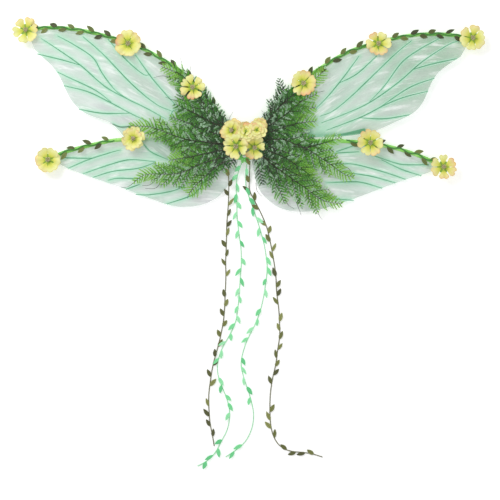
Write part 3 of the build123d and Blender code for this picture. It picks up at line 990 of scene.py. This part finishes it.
# ---- Silk flowers ----
# Petals of each flower, as in the CAD, its first petal's turn in degrees, and how broad they are.
FLOWERS = {
    "upper_left_tip_flower": (6, 10, 1.02), "upper_left_mid_flower": (6, 35, 1.15),
    "upper_left_inner_flower": (7, 0, 0.84), "upper_right_tip_flower": (6, 20, 1.06),
    "upper_right_mid_flower": (6, 5, 1.10), "upper_right_inner_flower": (7, 25, 1.02),
    "lower_left_tip_flower": (6, 0, 1.22), "lower_left_mid_flower": (6, 15, 0.98),
    "lower_right_tip_flower": (6, 30, 0.98), "lower_right_mid_flower": (6, 0, 1.04),
    "center_flower_1": (6, 20, 0.96), "center_flower_2": (6, 0, 1.00),
    "center_flower_3": (6, 12, 1.12), "center_flower_4": (7, 30, 1.15),
    "center_flower_5": (6, 0, 1.15), "center_flower_6": (7, 0, 1.20),
}
STAMENS = 17
STAMEN_RADIUS = 0.22 * MM
INNER_STEM = 1.6 * MM        # the radius of the stem that carries a double flower's inner rings
INNER_BREADTH = 1.25
# How far out of place the petals of the centre and of the wings lie, in radians.
CENTRE_STRAY = 0.20
WING_STRAY = 0.07
# Added to three points of an upright stalk, this gives tube_rows a sideways direction.
UPRIGHT = np.array([[0, 0, 0], [1e-5, 0, 0], [3e-5, 0, 0]])
# The double flowers: the size, petal count, turn and height in millimetres of each inner ring.
DOUBLES = {
    "lower_left_mid_flower": [(0.82, 6, 30, 2.0)],
    "center_flower_3": [(0.84, 5, 30, 2.2)],
    "center_flower_4": [(0.80, 6, 20, 2.6), (0.52, 5, 50, 4.6)],
    "center_flower_5": [(0.80, 6, 30, 2.5)],
    "center_flower_6": [(1.00, 8, 20, 7.0), (0.92, 7, 5, 14.0), (0.74, 6, 30, 17.5), (0.45, 5, 0, 20.0)],
}
CLOSED = {"center_flower_4", "center_flower_5", "center_flower_6"}
# How the flowers of the centre lean, in degrees, towards +X and towards +Y.
LEANS = {
    "center_flower_1": (-10, -14), "center_flower_2": (8, -16), "center_flower_3": (-18, 6),
    "center_flower_4": (6, 10), "center_flower_5": (14, 12), "center_flower_6": (0, 14),
}


def add_petal(build, place, radius, turn, lift, breadth, rng):
    """A petal: a narrow claw in the middle, a broad ruffled rim with a notch or two.

    "out" runs from the middle to the rim and "side" from -1 to 1 across."""
    half_angle = math.pi / 6 * breadth * rng.uniform(0.92, 1.12)
    notch = rng.uniform(0.03, 0.13)
    second = rng.uniform(-0.5, 0.5)
    ruffle = rng.uniform(0, 6)
    blush = max(0.0, rng.gauss(0.20, 0.38))
    cup = rng.uniform(0.30, 0.55)
    roll = rng.uniform(-0.10, 0.18)
    out, side = np.meshgrid(np.linspace(0.08, 1, 11), np.linspace(-1, 1, 13), indexing="ij")
    spread = half_angle * (0.40 + 0.95 * out - 0.42 * out**2)
    rim = 1 - 0.20 * side**4 - notch * np.exp(-((side - 0.1 * second) / 0.16) ** 2)
    rim -= 0.05 * np.exp(-((side - second) / 0.12) ** 2)
    reach = radius * out * (1 + (rim - 1) * out**2)
    angle = turn + side * spread
    height = cup * 0.52 * out**1.5 - roll * out**5
    height += 0.045 * out**2 * np.sin(5 * side + ruffle) - 0.10 * out * side**2
    rows = np.stack([reach * np.cos(angle), reach * np.sin(angle), radius * height + lift], axis=2)
    streak = np.maximum(0, np.cos(22 * side)) * (1 - np.abs(2 * out - 1))
    build.grid(np.array(place) + rows, 0, out=out, streak=streak, blush=np.full(out.shape, blush))


def add_calyx(build, place, radius, turn):
    """A small green star under the petals."""
    reach, angle = np.meshgrid([0.02, 0.5, 1.0], np.linspace(0, 2 * math.pi, 31), indexing="ij")
    star = 0.40 * radius * reach * (1 - 0.22 * np.cos(6 * (angle - turn)))
    rows = np.stack([star * np.cos(angle), star * np.sin(angle),
                     0.05 * radius * reach - 0.5 * MM], axis=2)
    build.grid(np.array(place) + rows, 2, tint=np.full(reach.shape, 0.4),
               across=np.full(reach.shape, 0.5))


def add_stamens(build, place, radius, rng):
    """A tuft of fine stalks with a bead on each."""
    for number in range(STAMENS):
        turn = number * 2.4
        reach = radius * 0.20 * math.sqrt((number + 0.5) / STAMENS)
        way = Vector((math.cos(turn), math.sin(turn), 0))
        top = place + way * reach + Vector((0, 0, radius * rng.uniform(0.20, 0.27)))
        foot = place + way * (0.3 * reach) + Vector((0, 0, 0.4 * MM))
        line = np.array([foot, foot.lerp(top, 0.5), top]) + UPRIGHT
        build.grid(tube_rows(line, STAMEN_RADIUS, 5), 1)
        add_bead(build, top, rng.uniform(0.75, 1.15) * MM)


def add_bead(build, middle, radius):
    polar, angle = np.meshgrid(math.pi * np.linspace(0.04, 0.96, 6),
                               np.linspace(0, 2 * math.pi, 8, endpoint=False), indexing="ij")
    wide = np.sin(polar)
    ball = np.stack([wide * np.cos(angle), wide * np.sin(angle), -np.cos(polar)], axis=2)
    build.grid(np.array(middle) + radius * ball, 1, closed=True)


def lean(build, place, towards_x, towards_y):
    """Tips what is built so far over about a point."""
    turn = Euler((-math.radians(towards_y), math.radians(towards_x), 0)).to_matrix()
    build.points = [place + turn @ (Vector(p) - place) for p in build.points]


def add_ring(build, place, radius, petals, turn, breadth, lift, stray, rng):
    """Petals all round; "stray" is how far, in radians, they are pushed out of place."""
    for number in range(petals):
        angle = math.radians(turn) + 2 * math.pi * number / petals + rng.uniform(-stray, stray)
        step = (0.4 if number % 2 else -0.4) * MM + rng.uniform(0, 5 * stray) * MM
        size = radius * rng.uniform(1.0 - 0.7 * stray, 1.05)
        add_petal(build, place, size, angle, lift + step, breadth, rng)


def make_flower(node, petals, turn, breadth, body, seed):
    """Petals, a calyx under them, any inner rings on their stems, and a tuft of stamens."""
    rng = random.Random(seed)
    low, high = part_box(node)
    radius = max(high.x - low.x, high.y - low.y) / 2
    place = Vector(((low.x + high.x) / 2, (low.y + high.y) / 2, low.z + 0.6 * MM))
    build = Build()
    stray = CENTRE_STRAY if body == "harness" else WING_STRAY
    add_ring(build, place, radius, petals, turn, breadth, 0.9 * MM, stray, rng)
    add_calyx(build, place + Vector((0, 0, 0.6 * MM)), radius, math.radians(turn))
    for size, count, twist, lift in DOUBLES.get(node, []):
        add_ring(build, place, radius * size, count, turn + twist, INNER_BREADTH, lift * MM, stray, rng)
        stem = place + Vector((0, 0, lift * MM))
        stem = np.array([place, place.lerp(stem, 0.5), stem]) + UPRIGHT
        build.grid(tube_rows(stem, INNER_STEM, 8), 2, closed=True)
    if node not in CLOSED:
        add_stamens(build, place + Vector((0, 0, 1.4 * MM)), radius, rng)
    lean(build, place, *LEANS.get(node, (0, 0)))
    bloom = build.object(f"{node}_bloom", "petal", "stamen", "calyx")
    hand_over(bloom, "petal", node, body=body)


for number, (node, (petals, turn, breadth)) in enumerate(FLOWERS.items()):
    body = "harness" if node.startswith("center") else "_".join(node.split("_")[:2]) + "_wing"
    make_flower(node, petals, turn, breadth, body, 300 + number)


# ---- Ferns: each plate of the CAD becomes fronds with fine leaflets ----
# Each frond, lowest first: its stalk in millimetres from the centre outwards, the length of its
# longest side branch, and how bright its new growth is, from 0 to 1.
FERNS = {
    "fern_left_upper": [
        ([(-28, 28), (-50, 44), (-68, 66), (-82, 92), (-88, 108)], 20, 0.25),
        ([(-34, 12), (-62, 26), (-92, 44), (-118, 70), (-130, 104)], 30, 0.35),
        ([(-28, 22), (-66, 46), (-96, 78), (-120, 106), (-154, 126)], 30, 0.60),
        ([(-32, 20), (-66, 34), (-96, 50), (-128, 66), (-142, 72)], 30, 0.45),
        ([(-84, 70), (-106, 108), (-130, 130), (-168, 146)], 24, 0.95),
    ],
    "fern_left_middle": [
        ([(-30, 14), (-70, 34), (-106, 50), (-134, 56)], 28, 0.30),
        ([(-32, -4), (-80, -2), (-122, -2), (-152, -6)], 30, 0.80),
        ([(-32, 6), (-76, 18), (-114, 34), (-150, 46)], 28, 0.65),
        ([(-32, -8), (-78, -4), (-124, 3), (-170, 20), (-196, 27), (-234, 28)], 38, 0.92),
    ],
    "fern_left_side": [
        ([(-34, -8), (-76, -8), (-112, -10), (-148, -16)], 30, 0.60),
        ([(-34, -18), (-78, -26), (-116, -34), (-152, -40)], 30, 0.90),
    ],
    "fern_left_lower": [
        ([(-32, -26), (-66, -34), (-104, -42), (-142, -52)], 24, 0.50),
        ([(-32, -38), (-58, -52), (-82, -72), (-100, -90), (-114, -108)], 30, 0.90),
        ([(-28, -32), (-56, -37), (-92, -48), (-112, -58), (-142, -67), (-196, -68), (-222, -82)],
         42, 0.92),
    ],
    "fern_right_upper": [
        ([(46, 40), (62, 70), (70, 98), (65, 124)], 16, 0.15),
        ([(30, 34), (46, 52), (60, 74), (76, 104)], 22, 0.20),
        ([(32, 28), (62, 60), (88, 90), (112, 112)], 26, 0.25),
        ([(34, 22), (72, 46), (106, 74), (140, 92)], 32, 0.70),
        ([(60, 60), (96, 92), (130, 116), (160, 142)], 26, 0.85),
    ],
    "fern_right_middle": [
        ([(34, 2), (66, 10), (100, 16), (124, 14)], 26, 0.25),
        ([(34, 26), (56, 48), (78, 70), (102, 84)], 26, 0.20),
        ([(34, 20), (70, 40), (98, 56), (138, 66)], 32, 0.75),
        ([(34, 12), (76, 26), (106, 34), (140, 38)], 28, 0.85),
    ],
    "fern_right_side": [
        ([(34, -10), (70, -20), (100, -34), (128, -58)], 30, 0.60),
        ([(36, 0), (72, 2), (98, -8), (122, -18), (162, -44), (196, -68), (214, -72)], 44, 0.92),
    ],
    "fern_right_lower": [
        ([(34, -24), (66, -40), (100, -52), (132, -62)], 30, 0.60),
        ([(30, -36), (50, -62), (64, -92), (76, -124)], 26, 0.50),
        ([(34, -32), (74, -54), (110, -72), (150, -84)], 34, 0.85),
        ([(30, -28), (52, -48), (88, -74), (122, -98), (154, -120), (192, -126)], 50, 0.90),
    ],
    "fern_right_edge": [
        ([(92, -12), (118, -14), (146, -8), (190, 6)], 20, 0.95),
    ],
    "fern_right_bright": [
        ([(48, -22), (76, -34), (104, -52), (136, -76)], 28, 1.05),
    ],
    "fern_root_sprig": [
        ([(16, -26), (23, -46), (28, -64), (33, -88)], 18, 0.20),
        ([(-16, -22), (-24, -36), (-31, -54)], 16, 0.25),
        ([(8, 18), (22, 28), (34, 34)], 16, 0.15),
        ([(-10, 16), (-22, 26), (-34, 32)], 16, 0.20),
        ([(6, 2), (24, 6), (40, 6)], 18, 0.15),
        ([(6, -8), (24, -14), (38, -20)], 18, 0.20),
        ([(-6, 2), (-24, 6), (-40, 4)], 18, 0.15),
        ([(-6, -8), (-24, -12), (-38, -18)], 18, 0.20),
    ],
}
# Bare curling stalks, by the fern that they grow from.
TENDRILS = {
    "fern_left_upper": [
        [(-122, 118), (-125, 142), (-131, 166)], [(-104, 104), (-112, 128), (-109, 150)],
        [(-146, 124), (-166, 128), (-184, 124)], [(-120, 84), (-142, 80), (-160, 86)],
    ],
    "fern_left_middle": [[(-222, 30), (-248, 26), (-270, 34)]],
    "fern_left_lower": [
        [(-176, -72), (-190, -88), (-206, -90)], [(-164, -72), (-178, -94), (-200, -96)],
        [(-218, -80), (-234, -92), (-248, -94)], [(-104, -92), (-114, -108), (-116, -116)],
    ],
    "fern_right_upper": [[(118, 104), (140, 96), (156, 98)]],
    "fern_right_lower": [
        [(76, -112), (84, -128), (96, -136)], [(100, -122), (106, -138), (110, -150)],
        [(140, -134), (146, -150), (152, -158)],
    ],
    "fern_right_side": [[(190, -48), (206, -58), (214, -74)]],
    "fern_root_sprig": [
        [(-38, 28), (-33, 44), (-25, 58)], [(36, 34), (38, 50), (30, 60)],
        [(20, -84), (22, -100), (32, -112)],
    ],
}
FERN_WINGS = {
    "fern_left_upper": "upper_left", "fern_left_middle": "upper_left",
    "fern_left_side": "upper_left", "fern_left_lower": "lower_left",
    "fern_right_upper": "upper_right", "fern_right_middle": "upper_right",
    "fern_right_side": "lower_right", "fern_right_lower": "lower_right",
    "fern_right_edge": "lower_right", "fern_right_bright": "lower_right",
}
FERN_BLEND = (45 * MM, 70 * MM)
BRANCH_PITCH = 19 * MM
PINNULE_PITCH = 6.4 * MM
PINNULE = 10 * MM
TIP_PINNULE = 22 * MM
LEAFLET = 2.7 * MM
FLOWER_CLEARANCE = 22 * MM
UNDER_FLOWER = 0.7 * MM
# Where the first side branch and the first pinnule grow, from the foot of their stalk.
FIRST_BRANCH = 8 * MM
FIRST_PINNULE = 3 * MM
STALK_WIDTH = 2.0 * MM
BRANCH_WIDTH = 1.2 * MM
PINNULE_WIDTH = 0.7 * MM
TENDRIL_WIDTH = 1.5 * MM
TENDRIL_RISE = 3 * MM
# A frond's height above its plate at its ends, its extra height in the middle, and the step from
# one frond of a fern to the next.
FROND_LIFT = 1.2 * MM
FROND_ARCH = 1.8 * MM
FROND_STEP = 1.0 * MM
DUSTY_SHARE = 0.26           # of the pinnules, at the dark root


def add_ribbon(build, line, width):
    """A thin tapering stalk as a three-sided tube."""
    taper = np.linspace(1, 0.45, len(line))[:, None] * width / 2
    build.grid(tube_rows(line, taper, 3), 1, closed=True)


def side_shoots(line, pitch, first, rng):
    """Places for shoots on both sides of a stalk: share, foot, heading, across and side."""
    total = distances(line)
    way = directions(line)
    for number in range(int((total[-1] - first) / pitch) + 1):
        for side in (-1, 1):
            at = min(total[-1], first + (number + 0.22 * side + rng.uniform(-0.08, 0.08)) * pitch)
            foot, heading = at_length(line, total, at), at_length(way, total, at)
            heading[2] = 0
            heading /= np.linalg.norm(heading)
            yield at / total[-1], foot, heading, np.array([-heading[1], heading[0], 0.0]) * side


def shoot_line(foot, heading, across, length, lean, bend, steps):
    """A curved shoot that leans out from a stalk and bends forwards."""
    angle = math.radians(lean) - math.radians(bend) * np.linspace(0, 1, steps)
    run = (np.cumsum(np.cos(angle))[:, None] * heading + np.cumsum(np.sin(angle))[:, None] * across)
    return np.vstack([foot, foot + run * length / steps])


def add_leaflets(build, line, along, dust, rng):
    """Pairs of tiny pointed leaflets down a pinnule, and one at its tip."""
    size = min(LEAFLET, 0.42 * distances(line)[-1])
    tint = rng.random()
    for share, foot, heading, across in side_shoots(line, size * 0.7, size * 0.4, rng):
        length = size * (1.1 - 0.45 * share) * rng.uniform(0.85, 1.15)
        out = heading * 0.8 + across * 0.7 + np.array([0, 0, rng.uniform(-0.25, 0.25)])
        out *= length / np.linalg.norm(out)
        wide = np.cross(out, [rng.uniform(-0.3, 0.3), rng.uniform(-0.3, 0.3), 1.0]) * 0.42
        middle = foot + out * 0.55
        build.add([foot, middle + wide, foot + out, middle - wide], [(0, 1, 2, 3)],
                  along=along + 0.2 * (share - 0.3), tint=tint, dust=dust)


def add_sprig(build, line, half_width, along, rng):
    """Pinnules in a comb down both sides of a stalk; "half_width" gives their length by share."""
    for share, foot, heading, across in side_shoots(line, PINNULE_PITCH, FIRST_PINNULE, rng):
        length = half_width(share) * rng.uniform(0.85, 1.12)
        pinnule = shoot_line(foot, heading, across, length, rng.uniform(48, 60), rng.uniform(5, 25), 5)
        pinnule[:, 2] += rng.uniform(-0.6, 0.8) * MM * np.linspace(0, 1, len(pinnule))
        bright = along[0] + (along[1] - along[0]) * share
        dusty = rng.random() < DUSTY_SHARE * (1.1 - bright)
        add_leaflets(build, pinnule, bright, rng.uniform(0.6, 1.0) if dusty else 0.0, rng)
        pinnule[:, 2] += 0.5 * MM
        add_ribbon(build, pinnule, PINNULE_WIDTH)


def add_frond(build, points, reach, bright, base_z, rng):
    """A stalk with pinnules, and side branches that have pinnules of their own."""
    line = smooth_line(np.array(points) * MM, 2 * MM)
    share = np.linspace(0, 1, len(line))
    line[:, 2] = base_z + FROND_ARCH * np.sin(np.pi * share) + FROND_LIFT
    tip_width = min(TIP_PINNULE, 0.75 * reach * MM)
    add_sprig(build, line, lambda at: tip_width * (
        (0.40 + 0.60 * smooth_step(at, 0.25, 0.65)) * (1 - at**6) + 0.22), (0.05 * bright, bright), rng)
    for share, foot, heading, across in side_shoots(line, BRANCH_PITCH, FIRST_BRANCH, rng):
        length = reach * MM * min(1.0, 0.62 + 1.1 * share) * (1 - share**3) * rng.uniform(0.85, 1.12)
        if length < TIP_PINNULE * 0.8 or share > 0.75:
            continue
        branch = shoot_line(foot, heading, across, length, rng.uniform(46, 58), rng.uniform(12, 30), 7)
        branch[:, 2] += rng.uniform(-1.0, 1.2) * MM * np.linspace(0, 1, len(branch))
        along = bright * (0.05 + 0.75 * share), bright * (0.25 + 0.75 * share)
        widest = min(PINNULE, 0.45 * length)
        add_sprig(build, branch, lambda at: widest * ((1 - at**4) + 0.15), along, rng)
        branch[:, 2] += 0.7 * MM
        add_ribbon(build, branch, BRANCH_WIDTH)
    line[:, 2] += 1.1 * MM
    add_ribbon(build, line, STALK_WIDTH)


def duck_under(points):
    """Lets ferns pass below the flowers instead of through them."""
    points = np.array(points)
    limit = np.full(len(points), 1.0)
    for node in FLOWERS:
        middle = centre(node)
        away = np.hypot(points[:, 0] - middle.x, points[:, 1] - middle.y)
        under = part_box(node)[0].z - UNDER_FLOWER
        limit = np.minimum(limit, under + 0.8 * np.maximum(0, away - FLOWER_CLEARANCE))
    points[:, 2] = np.minimum(points[:, 2], limit)
    return points


def make_fern(node, number):
    """The fronds and bare stalks of one CAD plate; those of a wing ride on no body."""
    rng = random.Random(500 + number)
    low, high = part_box(node)
    base_z = (low.z + high.z) / 2
    build = Build()
    for layer, (points, reach, bright) in enumerate(FERNS[node]):
        add_frond(build, points, reach, bright, base_z + layer * FROND_STEP, rng)
    for points in TENDRILS.get(node, []):
        line = smooth_line(np.array(points) * MM, 2 * MM)
        line[:, 2] = base_z + TENDRIL_RISE * np.linspace(0, 1, len(line)) ** 2
        add_ribbon(build, line, TENDRIL_WIDTH)
    build.points = duck_under(build.points)
    fern = build.object(f"{node}_fronds", "fern", "stalk", smooth=False)
    hand_over(fern, "fern", node, body=None if node in FERN_WINGS else "harness")
    if node in FERN_WINGS:
        bend_over(fern, FERN_WINGS[node], *FERN_BLEND)


for number, node in enumerate(FERNS):
    make_fern(node, number)


# ---- Harness: pad, plates, rivets, knot, straps and sliders ----
PAD_CORNER = 8 * MM
PAD_EDGE = 3.0 * MM          # how far in from its rim the pad reaches its full height
SEAM_INSET = 5.0 * MM
SEAM_WIDTH = 0.9 * MM
SEAM_DEPTH = 0.22            # as a share of the pad's height
PAD_MIDDLE = 0.004           # the innermost ring's size, as a share of the rim's
STITCH_RADIUS = 0.25 * MM
STRAP_WIDTH = 12 * MM
STRAP_CORNER = 30 * MM       # round the outside of a bend
# Half of the strap's cross-section, from side to side: shares of its half width and half height.
STRAP_SECTION = [(-0.9, 0.8), (-0.5, 1), (0, 0.92), (0.5, 1), (0.9, 0.8)]
KNOT_STRAND = 1.3 * MM
KNOT_LEAF = (13 * MM, 8 * MM)
KNOT_LEAF_TURNS = (205, 250, 292, 335)


def rounded_loop(low, high, corner, step):
    """The outline of a rounded rectangle, as points in order."""
    points = []
    for x, y, start in ((high.x, high.y, 0), (low.x, high.y, 1), (low.x, low.y, 2), (high.x, low.y, 3)):
        inward = (-1 if x == high.x else 1, -1 if y == high.y else 1)
        for angle in np.linspace(start, start + 1, 12) * math.pi / 2:
            points.append((x + inward[0] * corner + corner * math.cos(angle),
                           y + inward[1] * corner + corner * math.sin(angle), 0.0))
    points.append(points[0])
    return resample(np.array(points), step)


def make_pad():
    """A felt pad: flat underneath, crowned on top, drawn in along a stitched line near its rim."""
    low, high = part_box("back_pad")
    middle = np.array((low + high) / 2)
    half = (high - low) / 2
    height = high.z - low.z
    rim = rounded_loop(low, high, PAD_CORNER, 2 * MM)[:-1]
    rows = []
    for t in np.linspace(1, 0, 14):
        ring = middle + (rim - middle) * max(1 - t, PAD_MIDDLE) * 0.995
        ring[:, 2] = low.z
        rows.append(ring)
    for t in np.linspace(0, 1, 30):
        ring = middle + (rim - middle) * max(1 - t, PAD_MIDDLE)
        inward = t * min(half.x, half.y)
        edge = smooth_step(inward, 0, PAD_EDGE) ** 0.6
        seam = math.exp(-((inward - SEAM_INSET) / SEAM_WIDTH) ** 2) * SEAM_DEPTH
        ring[:, 2] = low.z + height * (0.18 + 0.82 * edge - seam)
        rows.append(ring)
    build = Build()
    build.grid(rows, closed=True)
    pad = build.object("back_felt_pad", "felt")
    hand_over(pad, "felt", "back_pad", body="harness")
    make_stitches("back_pad_stitching", rim, middle, high.z)


def make_stitches(name, rim, middle, top):
    """A row of small stitches that follows the pad's rim, in the seam."""
    scale = 1 - SEAM_INSET / np.abs(rim - middle)[:, :2].max(0).min()
    line = middle + (rim - middle) * [scale, scale, 0]
    line = resample(np.vstack([line, line[:1]]), 0.5 * MM)
    line[:, 2] = top - 0.85 * MM
    build = Build()
    for start in range(0, len(line) - 5, 8):
        stitch = line[start:start + 6].copy()
        stitch[:, 2] += 0.35 * MM * np.sin(np.linspace(0, math.pi, len(stitch)))
        build.grid(tube_rows(stitch, STITCH_RADIUS, 6), closed=True)
    hand_over(build.object(name, "olive_cord"), "felt", body="harness")


def weld(obj, reach):
    obj.modifiers.new("weld", "WELD").merge_threshold = reach


def cad_copy(node, name, material, slot, body="harness", bevel=0.0):
    """A CAD plate as a piece of its own: softened edges and a finish."""
    mesh = frame["nodes"][node].data.copy()
    mesh.name = name
    mesh.materials.clear()
    mesh.materials.append(MATERIALS[material])
    obj = bpy.data.objects.new(name, mesh)
    bpy.context.scene.collection.objects.link(obj)
    weld(obj, 0.01 * MM)
    if bevel:
        soften = obj.modifiers.new("soften", "BEVEL")
        soften.width = bevel
        soften.segments = 3
        soften.limit_method = "ANGLE"
    hand_over(obj, slot, node, body=body)


def make_strap(side):
    """A flat loop of elastic with a slight wave and a rounded, ribbed cross-section."""
    low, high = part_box(f"{side}_shoulder_strap")
    inset = Vector((STRAP_WIDTH / 2, STRAP_WIDTH / 2, 0))
    line = rounded_loop(low + inset, high - inset, STRAP_CORNER - STRAP_WIDTH / 2, 2.5 * MM)
    line[:, 2] = (low.z + high.z) / 2
    way = directions(np.vstack([line[-2], line, line[1]]))[1:-1]
    across = np.stack([-way[:, 1], way[:, 0], np.zeros(len(way))], axis=1)
    half_thick = (high.z - low.z) / 2
    under = [(s, -h) for s, h in reversed(STRAP_SECTION)]
    section = [(-1, 0), *STRAP_SECTION, (1, 0), *under]
    along = distances(line)
    rows = []
    for point, sideways, at in zip(line, across, along):
        wave = 0.12 * MM * math.sin(at / (9 * MM))
        rows.append([point + sideways * (s * STRAP_WIDTH / 2) + np.array([0, 0, h * half_thick + wave])
                     for s, h in section])
    build = Build()
    build.grid(rows, closed=True, capped=False, run=[[at] * len(section) for at in along],
               across=[[s for s, h in section]] * len(rows))
    strap = build.object(f"{side}_elastic_strap", "elastic")
    weld(strap, 0.02 * MM)
    hand_over(strap, "elastic", f"{side}_shoulder_strap", body="harness")


def make_knot():
    """The two green ends tied in a small bow-like knot that shows below the flowers."""
    rng = random.Random(77)
    low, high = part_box("vine_knot")
    middle = (low + high) / 2
    build = Build()
    turns = np.linspace(0, 4 * math.pi, 60)
    radius = (high.x - low.x) * 0.36
    wrap = np.stack([middle.x + radius * np.cos(turns), middle.y + radius * 0.8 * np.sin(turns),
                     np.linspace(low.z + 1.4 * MM, high.z - 1.4 * MM, len(turns))], axis=1)
    build.grid(tube_rows(wrap, KNOT_STRAND, 8), 0, closed=True)
    for turn in KNOT_LEAF_TURNS:
        way = Vector((math.cos(math.radians(turn)), math.sin(math.radians(turn)), 0.05))
        add_leaf(build, middle + way * radius * 0.5, way, (0, 0, 1), *KNOT_LEAF, rng, slot=1)
    knot = build.object("green_knot", "knot_cord", "knot_leaf", thickness=SHEET_THICKNESS)
    hand_over(knot, "mint_stem", "vine_knot", body="harness")


make_pad()
cad_copy("back_plate", "back_stiff_plate", "plate", "stiff_plate", bevel=0.4 * MM)
cad_copy("wire_clamp_plate", "wire_clamp", "plate", "stiff_plate", bevel=0.3 * MM)
cad_copy("clamp_rivets", "brass_rivets", "brass", "rivet")
cad_copy("wire_stubs", "taped_wire_ends", "tape", "green_tape")
for side in SIDES:
    make_strap(side)
    slider = f"{side}_slider"
    cad_copy(f"{side}_strap_slider", slider, "slider", "slider_plastic", slider, 0.5 * MM)
make_knot()

sizes = {"cad": cad_box, "scene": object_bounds()}
({name: [[round(float(c), 5) for c in corner] for corner in box]
           for name, box in sizes.items()})
